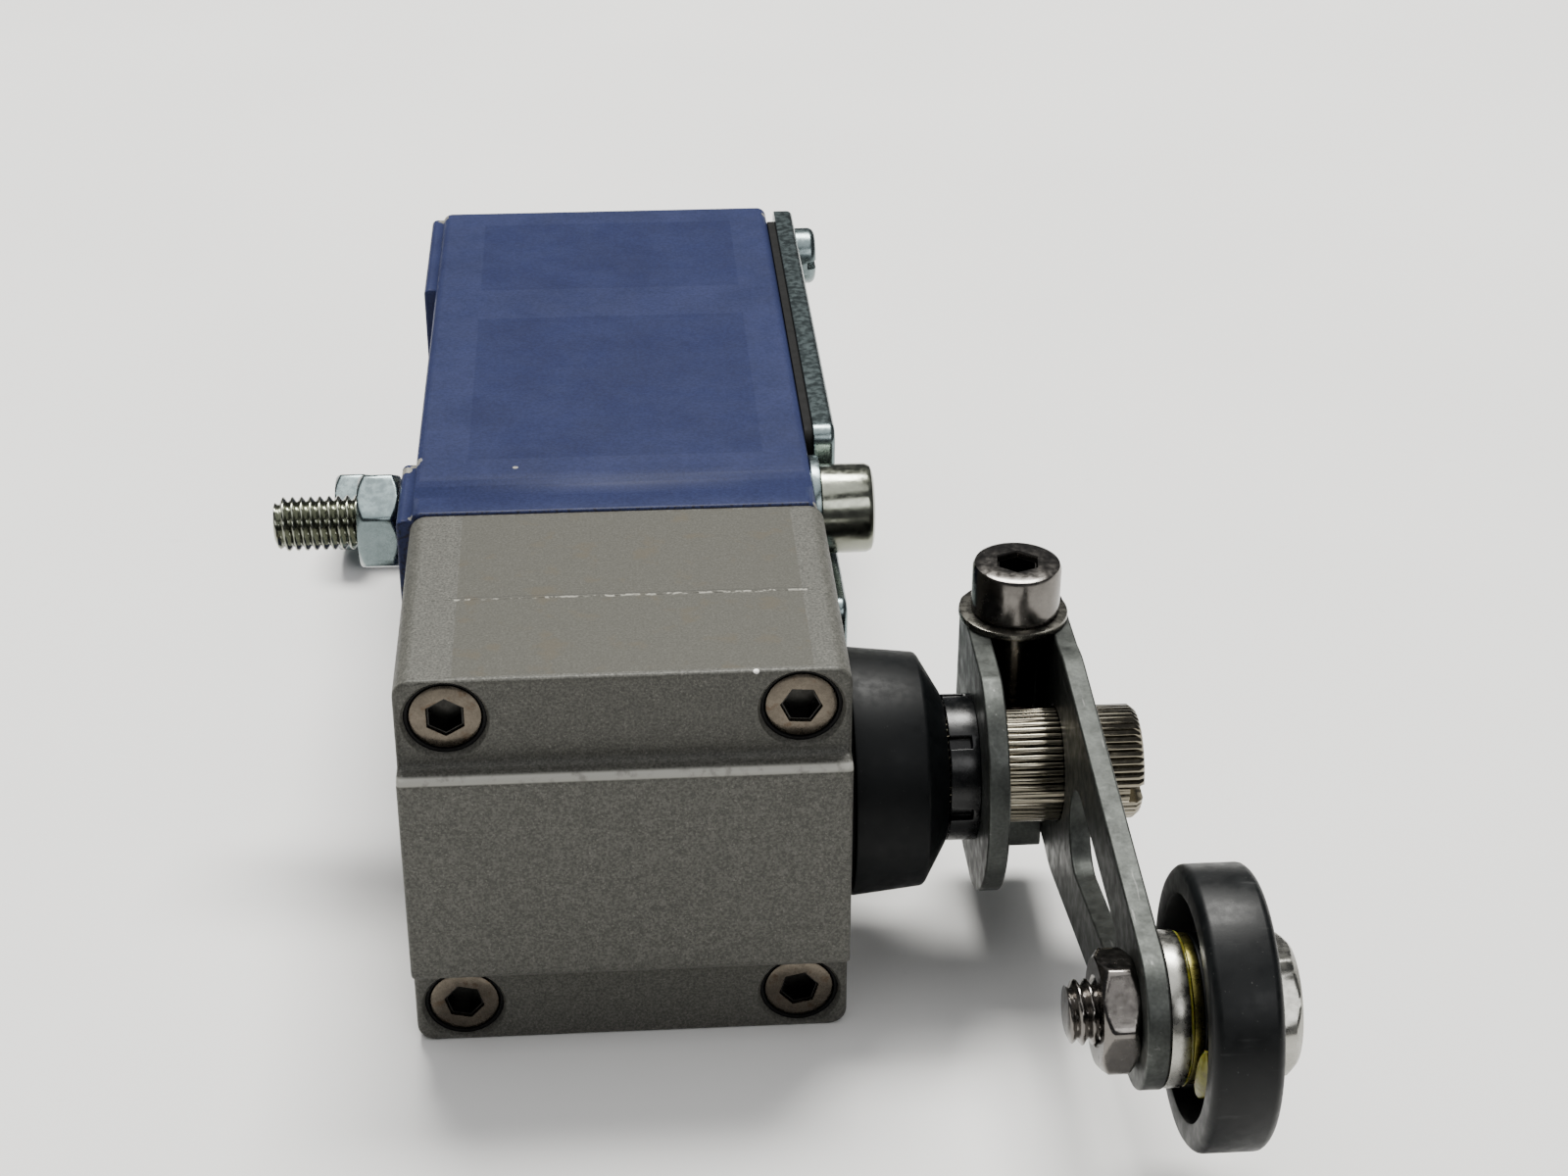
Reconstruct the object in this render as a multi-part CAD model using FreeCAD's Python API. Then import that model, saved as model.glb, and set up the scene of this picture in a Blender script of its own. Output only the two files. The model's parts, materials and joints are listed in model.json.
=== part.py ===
import FreeCAD, Part
import math
import os

from FreeCAD import Vector

# Limit switch with a rotary head and a roller lever. Millimetres.
# Origin: midway between the two fixing bolts, on the plane of the mounting pads.
# The mounting face looks along -X. The long side of the body runs along Y, with the head at -Y
# and the cable entry at +Y, and Z is the short side.

# Body
HALF_HEIGHT = 21.5            # the body and the head share this half height in Z
PAD_PROUD = 1.5               # mounting pads stand this far off the back wall
BODY_BACK = PAD_PROUD
BODY_FRONT = BODY_BACK + 43.4
HEAD_JOINT_Y = -41.0          # joint face between the body and the head
BODY_END_Y = 46.0
BACK_WALL = 4.0
SIDE_WALL = 4.0
CAVITY_Y = (-31.5, 36.0)
BOLT_PITCH_Y = 60.0
BOLT_PITCH_Z = 30.0
BOLT_SPOTS = [(-BOLT_PITCH_Y / 2, BOLT_PITCH_Z / 2), (BOLT_PITCH_Y / 2, -BOLT_PITCH_Z / 2)]
BOLT_RADIUS = 3.0             # M6
BOLT_HOLE_RADIUS = 3.25
BOLT_LENGTH = 60.0
WASHER_THICK = 1.0
NUT_FLATS = 10.0
NUT_HEIGHT = 4.5
NUT_STAND_OFF = (0.3, 9.6)    # one nut is run up to the mounting face, the other stands near its bolt's end
COVER_SCREW_SPOTS = [(39.7, 16.9), (-33.3, -16.9)]
M4_CORE_RADIUS = 1.65         # threads are plain cylinders at their core radius
SCREW_HOLE_RADIUS = 2.2
BEAD_Y = -36.0                # shallow grooves across the long sides, near the head
FINE_GROOVE_Y = -37.4
HEAD_SCREW_END_Y = -36.6
ENTRY_RADIUS = 9.25           # core of an M20 x 1.5 cable entry
CENTRE_X = 23.5               # the head, the pusher and the cable entry share this X

# Cover, gaskets
GASKET_THICK = 1.0
GASKET_INSET = 0.5
GASKET_END_Y = 43.5
PLATE_THICK = 2.5
HEAD_GASKET_THICK = 0.3
NOTCH_Y = 23.5                # the corner notches for the fixing bolts start here
NOTCH_Z = 8.7

# Head
HEAD_WIDTH = 44.0
HEAD_FRONT_Y = -75.3          # recessed strips that hold the four screws
PAD_FRONT_Y = -77.9
PAD_HALF = 12.15
HEAD_SCREW_HALF = 17.1
HEAD_CAVITY_RADIUS = 13.0
COUNTERBORE_RADIUS = 4.0
COUNTERBORE_DEPTH = 4.6
SEAL_X = (40.0, 42.0)
SEAL_RADIUS = 8.0
BUSH_NECK_RADIUS = 9.0
BUSH_NECK_END_X = 50.5
BOOT_FOOT_RADIUS = 13.0
BOOT_RADIUS = 12.2            # at the shoulder
BOOT_TIP_RADIUS = 7.9
BOOT_X = (BODY_BACK + HEAD_WIDTH, 53.9, 56.4)   # foot, shoulder and tip
PUSHER_SEAL_RADIUS = 7.0
PUSHER_SEAL_DEPTH = 2.2

# Shaft, cam and pusher
SHAFT_Y = -60.4
SHAFT_RADIUS = 6.0
SHAFT_END_X = 77.0
SPIGOT_RADIUS = 4.0
RUNNING_GAP = 0.05
CAM_BASE_RADIUS = 8.0
CAM_LIFT = 4.0
CAM_SWING_DEG = 65.0
FOLLOWER_GAP = 0.3
PIN_RADIUS = 1.5
CIRCLIP_X = (31.0, 32.0)
CIRCLIP_GROOVE_RADIUS = 5.4
DOG_X = 15.0
SHAFT_SLOT_DEG = 4.0
PUSHER_RADIUS = 5.0
PUSHER_TIP_RADIUS = 3.0
PUSHER_END_Y = -30.1
PLUNGER_RADIUS = 3.0

# Lever and roller
SHEET = 2.2
CHEEK_X = 59.7
ARM_X = 68.5
EYE_RADIUS = 13.0
LEVER_TOP = 12.7
LEVER_BACK = 14.8
CLAMP_OFFSET = 9.5
LEVER_LENGTH = 43.0
ROLLER_RISE = 1.4
ROLLER_Y = SHAFT_Y - LEVER_LENGTH
ROLLER_RADIUS = 13.0
ROLLER_X = (73.1, 79.5)
ROLLER_END_RADIUS = 7.2       # the arm is rounded about the roller axle
AXLE_RADIUS = 3.0
AXLE_SHOULDER_RADIUS = 4.0
BUSH_RADIUS = 5.0
HUB_RADIUS = 6.8
HUB_END_X = 80.0
CLAMP_RADIUS = 2.5            # M5
CLAMP_HEAD_RADIUS = 4.65
CLAMP_HEAD_LENGTH = 5.6
CLAMP_X = (CHEEK_X + ARM_X + SHEET) / 2
CLAMP_Y = SHAFT_Y + CLAMP_OFFSET

# Contact block
BLOCK_X = (7.5, 33.0)
BLOCK_HALF_Y = 21.0
BLOCK_HALF_Z = 14.0
CHAMBER_HALF_Z = 7.5
TERMINAL_WALL_Z = 9.0
TERMINAL_Z = 11.7
BRIDGE_HALF_Z = 7.0
NC_STRIP_Y = (-1.7, -0.7)
NO_STRIP_Y = (4.7, 5.7)
TAB_X = (27.0, 28.0)
TERMINALS = [(NC_STRIP_Y, -1), (NO_STRIP_Y, 1)]   # contact strip and the way its tab points in Y
TAB_LENGTH = 7.0
TERMINAL_SCREW_RADIUS = 1.75
BLOCK_SCREW_RADIUS = 1.45
BRIDGE_Y = (-4.5, -3.5)
BRIDGE_HALF_X = 2.5
EARTH_SPOT = (28.5, 11.0)
EARTH_BOSS_X = 12.0

ALONG_X = Vector(1, 0, 0)
ALONG_Y = Vector(0, 1, 0)
ALONG_Z = Vector(0, 0, 1)


# ---------------------------------------------------------------- helpers

def block(x, y, z):
    """Box between the low and high value of each axis."""
    return Part.makeBox(x[1] - x[0], y[1] - y[0], z[1] - z[0], Vector(x[0], y[0], z[0]))


def rod_x(radius, x, y, z):
    return Part.makeCylinder(radius, x[1] - x[0], Vector(x[0], y, z), ALONG_X)


def rod_y(radius, y, x, z):
    return Part.makeCylinder(radius, y[1] - y[0], Vector(x, y[0], z), ALONG_Y)


def rod_z(radius, z, x, y):
    return Part.makeCylinder(radius, z[1] - z[0], Vector(x, y, z[0]), ALONG_Z)


def tube_x(outer, inner, x, y, z):
    return rod_x(outer, x, y, z).cut(rod_x(inner, (x[0] - 1, x[1] + 1), y, z))


def cone_x(radius_a, radius_b, x, y, z):
    return Part.makeCone(radius_a, radius_b, x[1] - x[0], Vector(x[0], y, z), ALONG_X)


def hexagon(across_flats, length, base, direction, turn_deg=0.0):
    """Hexagonal prism from base along direction."""
    corner = across_flats / math.sqrt(3)
    angles = [math.radians(60 * i) for i in range(7)]
    ring = Part.makePolygon([Vector(corner * math.cos(a), corner * math.sin(a), 0) for a in angles])
    prism = Part.Face(ring).extrude(Vector(0, 0, length))
    prism.rotate(Vector(0, 0, 0), ALONG_Z, turn_deg)
    turn = FreeCAD.Rotation(ALONG_Z, direction)
    prism.Placement = FreeCAD.Placement(base, turn).multiply(prism.Placement)
    return prism


def edges_along(shape, axis, keep=lambda edge: True):
    """Straight edges that run along an axis."""
    found = []
    for edge in shape.Edges:
        if isinstance(edge.Curve, Part.Line) and keep(edge):
            if abs(abs(edge.Curve.Direction.dot(axis)) - 1) < 1e-6:
                found.append(edge)
    return found


def rounded(shape, radius, edges):
    return shape.makeFillet(radius, edges)


def coil(axis_base, direction, radius, wire, pitch, turns):
    """Round wire coil whose centre line starts at axis_base and climbs along direction."""
    path = Part.makeHelix(pitch, pitch * turns, radius)
    section = Part.Wire(Part.makeCircle(wire / 2, Vector(radius, 0, 0), ALONG_Y))
    spring = Part.Wire(path.Edges).makePipeShell([section], True, True)
    spring.Placement = FreeCAD.Placement(axis_base, FreeCAD.Rotation(ALONG_Z, direction))
    return spring


def cap_screw(head_radius, head_length, shank_radius, shank_length, socket, seat, direction):
    """Socket head cap screw: its head sits at seat, and its shank runs along direction."""
    head = Part.makeCylinder(head_radius, head_length, seat, direction * -1)
    rim = [e for e in head.Edges if isinstance(e.Curve, Part.Circle)]
    rim.sort(key=lambda e: e.CenterOfMass.dot(direction))
    head = rounded(head, 0.5, rim[:1])
    top = seat - direction * head_length
    shank = Part.makeCylinder(shank_radius, shank_length, seat, direction)
    return head.fuse(shank).removeSplitter().cut(hexagon(socket, head_length * 0.6, top, direction))


def pan_screw(head_radius, head_length, shank_radius, shank_length, seat):
    """Slotted pan head screw that points along -X."""
    head = Part.makeCylinder(head_radius, head_length, seat, ALONG_X)
    rim = max((e for e in head.Edges if isinstance(e.Curve, Part.Circle)), key=lambda e: e.CenterOfMass.x)
    head = rounded(head, head_length * 0.35, [rim])
    shank = Part.makeCylinder(shank_radius, shank_length, seat, ALONG_X * -1)
    slot_x = (seat.x + head_length * 0.55, seat.x + head_length + 1)
    slot = block(slot_x, (seat.y - head_radius - 1, seat.y + head_radius + 1), (seat.z - 0.5, seat.z + 0.5))
    return head.fuse(shank).removeSplitter().cut(slot)


def group(shapes):
    return Part.makeCompound(shapes)


def save(name, shape):
    shape.exportStep("parts/" + name + ".step")
    solids = shape.Solids
    print(name, len(solids), "solids", "valid" if shape.isValid() else "INVALID",
          round(sum(s.Volume for s in solids)), "mm3")


# ---------------------------------------------------------------- body

def head_screw_spots():
    spread = (-HEAD_SCREW_HALF, HEAD_SCREW_HALF)
    return [(CENTRE_X + dx, dz) for dx in spread for dz in spread]


def body_housing():
    z_range = (-HALF_HEIGHT, HALF_HEIGHT)
    body = block((BODY_BACK, BODY_FRONT), (HEAD_JOINT_Y, BODY_END_Y), z_range)
    body = rounded(body, 1.2, edges_along(body, ALONG_Y))
    pads = [block((0, BODY_BACK + 1), span, (-HALF_HEIGHT + 0.8, HALF_HEIGHT - 0.8))
            for span in ((HEAD_JOINT_Y, -27.5), (21.7, BODY_END_Y))]
    pads = [rounded(p, 0.7, edges_along(p, ALONG_Y, lambda e: e.CenterOfMass.x < 1)) for p in pads]
    for pad in pads:
        body = body.fuse(pad)
    body = body.removeSplitter()
    inner_z = (-HALF_HEIGHT + SIDE_WALL, HALF_HEIGHT - SIDE_WALL)
    cavity = block((BODY_BACK + BACK_WALL, BODY_FRONT + 1), CAVITY_Y, inner_z)
    cavity = cavity.cut(corner_block(1)).cut(corner_block(-1))
    cavity = cavity.cut(rod_x(4.5, (0, BODY_FRONT + 1), *COVER_SCREW_SPOTS[1]))
    pad_top = (BODY_BACK + BACK_WALL, BLOCK_X[0])
    for y, z in block_screw_spots():
        cavity = cavity.cut(rod_x(3.4, pad_top, y, z))
    cavity = cavity.cut(rod_x(4.5, (BODY_BACK + BACK_WALL, EARTH_BOSS_X), *EARTH_SPOT))
    body = body.cut(cavity)
    for y, z in BOLT_SPOTS:
        body = body.cut(rod_x(BOLT_HOLE_RADIUS, (-1, BODY_FRONT + 1), y, z))
    for y, z in COVER_SCREW_SPOTS:
        body = body.cut(rod_x(M4_CORE_RADIUS, (BODY_FRONT - 11, BODY_FRONT + 1), y, z))
    for x, z in head_screw_spots():
        body = body.cut(rod_y(M4_CORE_RADIUS, (HEAD_JOINT_Y - 1, HEAD_SCREW_END_Y), x, z))
    for y, z in block_screw_spots():
        body = body.cut(rod_x(BLOCK_SCREW_RADIUS, (2.8, BLOCK_X[0] + 1), y, z))
    body = body.cut(rod_x(M4_CORE_RADIUS, (4.0, EARTH_BOSS_X + 1), *EARTH_SPOT))
    pusher_hole_y = (HEAD_JOINT_Y - 1, CAVITY_Y[0] + 1)
    body = body.cut(rod_y(PUSHER_RADIUS + 0.5, pusher_hole_y, CENTRE_X, 0))
    body = body.cut(rod_y(ENTRY_RADIUS, (CAVITY_Y[1] - 1, BODY_END_Y + 1), CENTRE_X, 0))
    for side in (-1, 1):
        across = (BODY_BACK - 1, BODY_FRONT + 1)
        body = body.cut(rod_x(0.9, across, BEAD_Y, side * (HALF_HEIGHT + 0.4)))
        body = body.cut(rod_x(0.35, across, FINE_GROOVE_Y, side * (HALF_HEIGHT + 0.1)))
    return body


def corner_block(side):
    """Solid corner of the cavity round a fixing bolt."""
    if side > 0:
        return block((0, BODY_FRONT + 2), (CAVITY_Y[0] - 1, -NOTCH_Y + 2), (NOTCH_Z - 2, HALF_HEIGHT))
    return block((0, BODY_FRONT + 2), (NOTCH_Y - 2, CAVITY_Y[1] + 1), (-HALF_HEIGHT, -NOTCH_Z + 2))


def plate_outline(x, inset, end_y):
    """Cover outline with its two bolt notches and rounded corners."""
    low_y = HEAD_JOINT_Y + inset
    z_range = (-HALF_HEIGHT + inset, HALF_HEIGHT - inset)
    plate = block(x, (low_y, end_y), z_range)
    plate = plate.cut(block((0, 99), (low_y - 9, -NOTCH_Y + inset), (NOTCH_Z - inset, HALF_HEIGHT + 9)))
    plate = plate.cut(block((0, 99), (NOTCH_Y - inset, end_y + 9), (-HALF_HEIGHT - 9, -NOTCH_Z + inset)))
    return rounded(plate, 2.0, edges_along(plate, ALONG_X))


def cover_gasket():
    x = (BODY_FRONT, BODY_FRONT + GASKET_THICK)
    gasket = plate_outline(x, GASKET_INSET, GASKET_END_Y)
    hollow = block((0, 99), (CAVITY_Y[0] + 1, CAVITY_Y[1] - 1), (-16.5, 16.5))
    hollow = hollow.cut(block((0, 99), (-60, -NOTCH_Y + 3), (NOTCH_Z - 3, 30)))
    hollow = hollow.cut(block((0, 99), (NOTCH_Y - 3, 60), (-30, -NOTCH_Z + 3)))
    hollow = hollow.cut(rod_x(5.5, (0, 99), *COVER_SCREW_SPOTS[1]))
    gasket = gasket.cut(hollow)
    for y, z in COVER_SCREW_SPOTS:
        gasket = gasket.cut(rod_x(SCREW_HOLE_RADIUS, (0, 99), y, z))
    return gasket


def cover_plate():
    low_x = BODY_FRONT + GASKET_THICK
    plate = plate_outline((low_x, low_x + PLATE_THICK), 0.0, BODY_END_Y)
    top = max(plate.Faces, key=lambda f: f.CenterOfMass.x)
    plate = rounded(plate, 0.7, top.Edges)
    for y, z in COVER_SCREW_SPOTS:
        plate = plate.cut(rod_x(SCREW_HOLE_RADIUS, (0, 99), y, z))
    return plate


def cover_screws():
    seat_x = BODY_FRONT + GASKET_THICK + PLATE_THICK
    sizes = {"head_radius": 3.7, "head_length": 2.7, "shank_radius": M4_CORE_RADIUS, "shank_length": 12.0}
    return group([pan_screw(seat=Vector(seat_x, y, z), **sizes) for y, z in COVER_SCREW_SPOTS])


def mounting_washers():
    x = (BODY_FRONT, BODY_FRONT + WASHER_THICK)
    return group([tube_x(BOLT_RADIUS * 2, BOLT_RADIUS + 0.2, x, y, z) for y, z in BOLT_SPOTS])


def mounting_bolts():
    seat_x = BODY_FRONT + WASHER_THICK
    sizes = {"head_radius": 5.0, "head_length": 6.0, "shank_radius": BOLT_RADIUS,
             "shank_length": BOLT_LENGTH, "socket": 5.0}
    return group([cap_screw(seat=Vector(seat_x, y, z), direction=ALONG_X * -1, **sizes)
                  for y, z in BOLT_SPOTS])


def mounting_nuts():
    nuts = []
    for (y, z), gap in zip(BOLT_SPOTS, NUT_STAND_OFF):
        nut = hexagon(NUT_FLATS, NUT_HEIGHT, Vector(-gap, y, z), ALONG_X * -1)
        corner_round = Part.makeSphere(NUT_FLATS * 0.56, Vector(-gap - NUT_HEIGHT / 2, y, z))
        nuts.append(nut.common(corner_round).cut(rod_x(BOLT_RADIUS, (-40, 10), y, z)))
    return group(nuts)


# ---------------------------------------------------------------- head

def head_casing():
    x = (BODY_BACK, BODY_BACK + HEAD_WIDTH)
    low_y = HEAD_FRONT_Y
    high_y = HEAD_JOINT_Y - HEAD_GASKET_THICK
    head = block(x, (low_y, high_y), (-HALF_HEIGHT, HALF_HEIGHT))
    pad = block(x, (PAD_FRONT_Y, low_y + 1), (-PAD_HALF, PAD_HALF))
    pad = rounded(pad, 1.0, edges_along(pad, ALONG_X, lambda e: e.CenterOfMass.y < low_y))
    head = rounded(head, 1.8, edges_along(head, ALONG_Y))
    head = head.fuse(pad).removeSplitter()
    for sx, sz in head_screw_spots():
        head = head.cut(rod_y(COUNTERBORE_RADIUS, (PAD_FRONT_Y - 1, low_y + COUNTERBORE_DEPTH), sx, sz))
        head = head.cut(rod_y(SCREW_HOLE_RADIUS, (low_y - 1, high_y + 1), sx, sz))
    head = head.cut(rod_x(HEAD_CAVITY_RADIUS, (8.0, x[1] + 1), SHAFT_Y, 0))
    head = head.cut(rod_x(5.5, (4.0, 9.0), SHAFT_Y, 0))
    head = head.cut(rod_y(PUSHER_RADIUS + RUNNING_GAP, (SHAFT_Y, high_y + 1), CENTRE_X, 0))
    return head.cut(rod_y(PUSHER_SEAL_RADIUS, (high_y - PUSHER_SEAL_DEPTH, high_y + 1), CENTRE_X, 0))


def head_gasket():
    y = (HEAD_JOINT_Y - HEAD_GASKET_THICK, HEAD_JOINT_Y)
    sheet = block((BODY_BACK + 0.6, BODY_FRONT), y, (-HALF_HEIGHT + 0.6, HALF_HEIGHT - 0.6))
    sheet = rounded(sheet, 1.2, edges_along(sheet, ALONG_Y))
    for sx, sz in head_screw_spots():
        sheet = sheet.cut(rod_y(SCREW_HOLE_RADIUS + 0.1, (y[0] - 1, y[1] + 1), sx, sz))
    return sheet.cut(rod_y(PUSHER_SEAL_RADIUS + 0.5, (y[0] - 1, y[1] + 1), CENTRE_X, 0))


def head_screws():
    seat_y = HEAD_FRONT_Y + COUNTERBORE_DEPTH
    sizes = {"head_radius": 3.6, "head_length": 4.0, "shank_radius": M4_CORE_RADIUS,
             "shank_length": 33.0, "socket": 3.4}
    return group([cap_screw(seat=Vector(sx, seat_y, sz), direction=ALONG_Y, **sizes)
                  for sx, sz in head_screw_spots()])


def back_patch():
    patch = block((BODY_BACK - 0.4, BODY_BACK), (-76.8, -47.0), (-11.2, 10.8))
    return rounded(patch, 1.0, edges_along(patch, ALONG_X))


def bearing_bush():
    face_x = BODY_BACK + HEAD_WIDTH
    bush = rod_x(HEAD_CAVITY_RADIUS, (37.0, face_x), SHAFT_Y, 0)
    bush = bush.fuse(rod_x(BUSH_NECK_RADIUS, (face_x - 1, BUSH_NECK_END_X), SHAFT_Y, 0)).removeSplitter()
    bush = bush.cut(rod_x(SHAFT_RADIUS + RUNNING_GAP, (30, 60), SHAFT_Y, 0))
    return bush.cut(rod_x(SEAL_RADIUS, SEAL_X, SHAFT_Y, 0))


def shaft_seal():
    return tube_x(SEAL_RADIUS, SHAFT_RADIUS + RUNNING_GAP, SEAL_X, SHAFT_Y, 0)


def rear_bush():
    return tube_x(5.5, SPIGOT_RADIUS + RUNNING_GAP, (4.0, 8.0), SHAFT_Y, 0)


def boot():
    foot_x, shoulder_x, tip_x = BOOT_X
    shell = cone_x(BOOT_FOOT_RADIUS, BOOT_RADIUS, (foot_x, shoulder_x), SHAFT_Y, 0)
    rim = min((e for e in shell.Edges if isinstance(e.Curve, Part.Circle)), key=lambda e: e.CenterOfMass.x)
    shell = shell.makeChamfer(0.6, [rim])
    shell = shell.fuse(cone_x(BOOT_RADIUS, BOOT_TIP_RADIUS, (shoulder_x, tip_x), SHAFT_Y, 0))
    shell = shell.removeSplitter().cut(rod_x(BUSH_NECK_RADIUS, (foot_x - 1, BUSH_NECK_END_X), SHAFT_Y, 0))
    return shell.cut(rod_x(SHAFT_RADIUS + 0.3, (foot_x, tip_x + 1), SHAFT_Y, 0))


def pusher_seal():
    high_y = HEAD_JOINT_Y - HEAD_GASKET_THICK
    ring = rod_y(PUSHER_SEAL_RADIUS, (high_y - PUSHER_SEAL_DEPTH, high_y), CENTRE_X, 0)
    return ring.cut(rod_y(PUSHER_RADIUS + RUNNING_GAP, (high_y - 4, high_y + 1), CENTRE_X, 0))


def return_spring():
    return coil(Vector(33.6, SHAFT_Y, 0), ALONG_X, radius=8.6, wire=1.1, pitch=1.3, turns=2.0)


# ---------------------------------------------------------------- shaft group

def shaft():
    body = rod_x(SHAFT_RADIUS, (11.0, SHAFT_END_X), SHAFT_Y, 0)
    tip = max((e for e in body.Edges if isinstance(e.Curve, Part.Circle)), key=lambda e: e.CenterOfMass.x)
    body = body.makeChamfer(0.7, [tip])
    body = body.fuse(rod_x(SPIGOT_RADIUS, (4.5, 11.0), SHAFT_Y, 0)).removeSplitter()
    body = body.cut(tube_x(7.0, CIRCLIP_GROOVE_RADIUS, CIRCLIP_X, SHAFT_Y, 0))
    slot = block((SHAFT_END_X - 2.4, SHAFT_END_X + 1), (SHAFT_Y - 8, SHAFT_Y + 8), (-0.8, 0.8))
    slot.rotate(Vector(0, SHAFT_Y, 0), ALONG_X, SHAFT_SLOT_DEG)
    body = body.cut(slot)
    return body.cut(rod_y(PIN_RADIUS, (SHAFT_Y - 9, SHAFT_Y + 9), DOG_X, 0))


def drive_pin():
    return rod_y(PIN_RADIUS, (SHAFT_Y - 9.5, SHAFT_Y + 5.5), DOG_X, 0)


def circlip():
    ring = tube_x(8.0, CIRCLIP_GROOVE_RADIUS, CIRCLIP_X, SHAFT_Y, 0)
    return ring.cut(block((30, 33), (SHAFT_Y - 2.2, SHAFT_Y + 2.2), (-12, 0)))


def index_ring():
    x = (56.6, CHEEK_X)
    ring = tube_x(7.65, SHAFT_RADIUS, x, SHAFT_Y, 0)
    for i in range(6):
        slot = block((x[0] - 1, x[1] - 0.8), (SHAFT_Y + 6.8, SHAFT_Y + 9), (-0.7, 0.7))
        slot.rotate(Vector(0, SHAFT_Y, 0), ALONG_X, 60 * i + 188)
        ring = ring.cut(slot)
    return ring


# ---------------------------------------------------------------- cam

def polar(radius, angle_deg):
    """Point of the cam outline; the angle runs from +Y towards +Z."""
    angle = math.radians(angle_deg)
    return Vector(0, SHAFT_Y + radius * math.cos(angle), radius * math.sin(angle))


def cam():
    rise = Part.BSplineCurve()
    steps = 8
    rise_points = []
    for i in range(steps + 1):
        angle = CAM_SWING_DEG * i / steps
        rise_points.append(polar(CAM_BASE_RADIUS + CAM_LIFT * i / steps, angle))
    rise.interpolate(rise_points)
    top_radius = CAM_BASE_RADIUS + CAM_LIFT
    top = Part.Arc(polar(top_radius, CAM_SWING_DEG), polar(top_radius, CAM_SWING_DEG + 8),
                   polar(top_radius, CAM_SWING_DEG + 16))
    drop = Part.LineSegment(polar(top_radius, CAM_SWING_DEG + 16), polar(CAM_BASE_RADIUS, 125))
    base = Part.Arc(polar(CAM_BASE_RADIUS, 125), polar(CAM_BASE_RADIUS, 245), polar(CAM_BASE_RADIUS, 360))
    outline = Part.Wire([curve.toShape() for curve in (rise, top, drop, base)])
    lobe = Part.Face(outline).extrude(ALONG_X * 8.0)
    lobe.translate(Vector(CENTRE_X - 4.0, 0, 0))
    body = lobe.fuse(rod_x(CAM_BASE_RADIUS, (17.0, 30.0), SHAFT_Y, 0)).removeSplitter()
    dog = tube_x(9.5, SHAFT_RADIUS + RUNNING_GAP, (13.0, 17.5), SHAFT_Y, 0)
    body = body.fuse(dog.common(dog_sector())).removeSplitter()
    return body.cut(rod_x(SHAFT_RADIUS + RUNNING_GAP, (0, 40), SHAFT_Y, 0))


def dog_sector():
    """Wedge that carries the driving dog, just short of the drive pin."""
    sector = Part.makeCylinder(12.0, 4.5, Vector(13.0, SHAFT_Y, 0), ALONG_X, 45.0)
    centre = sector.CenterOfMass
    start = math.degrees(math.atan2(centre.z, centre.y - SHAFT_Y))
    sector.rotate(Vector(0, SHAFT_Y, 0), ALONG_X, 140.0 - start)
    return sector


# ---------------------------------------------------------------- lever

def hull_outline(ya, za, ra, yb, zb, rb, x, thick):
    """Plate round two circles and the tangents between them, in the YZ plane."""
    dy, dz = yb - ya, zb - za
    span = math.hypot(dy, dz)
    heading = math.atan2(dz, dy)
    lean = math.acos((ra - rb) / span)

    def at(y, z, r, angle):
        return Vector(x, y + r * math.cos(angle), z + r * math.sin(angle))

    a1, a2 = at(ya, za, ra, heading + lean), at(ya, za, ra, heading - lean)
    b1, b2 = at(yb, zb, rb, heading + lean), at(yb, zb, rb, heading - lean)
    far_a = at(ya, za, ra, heading + math.pi)
    far_b = at(yb, zb, rb, heading)
    curves = (Part.Arc(a2, far_a, a1), Part.LineSegment(a1, b1), Part.Arc(b1, far_b, b2),
              Part.LineSegment(b2, a2))
    return Part.Face(Part.Wire([c.toShape() for c in curves])).extrude(Vector(thick, 0, 0))


def lever_arm():
    back = SHAFT_Y + LEVER_BACK
    flat = (-LEVER_TOP, LEVER_TOP)
    cheek = rod_x(EYE_RADIUS, (CHEEK_X, CHEEK_X + SHEET), SHAFT_Y, 0)
    cheek = cheek.common(block((0, 99), (SHAFT_Y - 20, SHAFT_Y + 20), flat))
    cheek = cheek.fuse(block((CHEEK_X, CHEEK_X + SHEET), (SHAFT_Y, back), flat))
    arm = hull_outline(SHAFT_Y, 0, EYE_RADIUS, ROLLER_Y, ROLLER_RISE, ROLLER_END_RADIUS, ARM_X, SHEET)
    arm = arm.fuse(block((ARM_X, ARM_X + SHEET), (SHAFT_Y, back), flat))
    window = hull_outline(SHAFT_Y - 14.0, 0.2, 4.6, SHAFT_Y - 32.5, 1.0, 2.4, ARM_X - 1, SHEET + 2)
    arm = arm.cut(window)
    web = block((CHEEK_X, ARM_X + SHEET), (back - SHEET, back), flat)
    lever = cheek.fuse(arm).fuse(web).removeSplitter()
    bends = edges_along(lever, ALONG_Z, lambda e: e.CenterOfMass.y > back - 0.01)
    lever = rounded(lever, 2.0, bends)
    lever = lever.cut(rod_x(SHAFT_RADIUS, (50, 80), SHAFT_Y, 0))
    lever = lever.cut(rod_x(AXLE_RADIUS, (50, 80), ROLLER_Y, ROLLER_RISE))
    corners = ((67.6, -1.5), (65.6, -4.6), (68.2, -4.6), (67.6, -1.5))
    relief = Part.makePolygon([Vector(x, back - 9, z) for x, z in corners])
    return lever.cut(Part.Face(relief).extrude(Vector(0, 12, 0)))


def clamp_washer():
    washer = rod_z(5.75, (LEVER_TOP, LEVER_TOP + 1.0), CLAMP_X, CLAMP_Y)
    return washer.cut(rod_z(CLAMP_RADIUS, (0, 30), CLAMP_X, CLAMP_Y))


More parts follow.
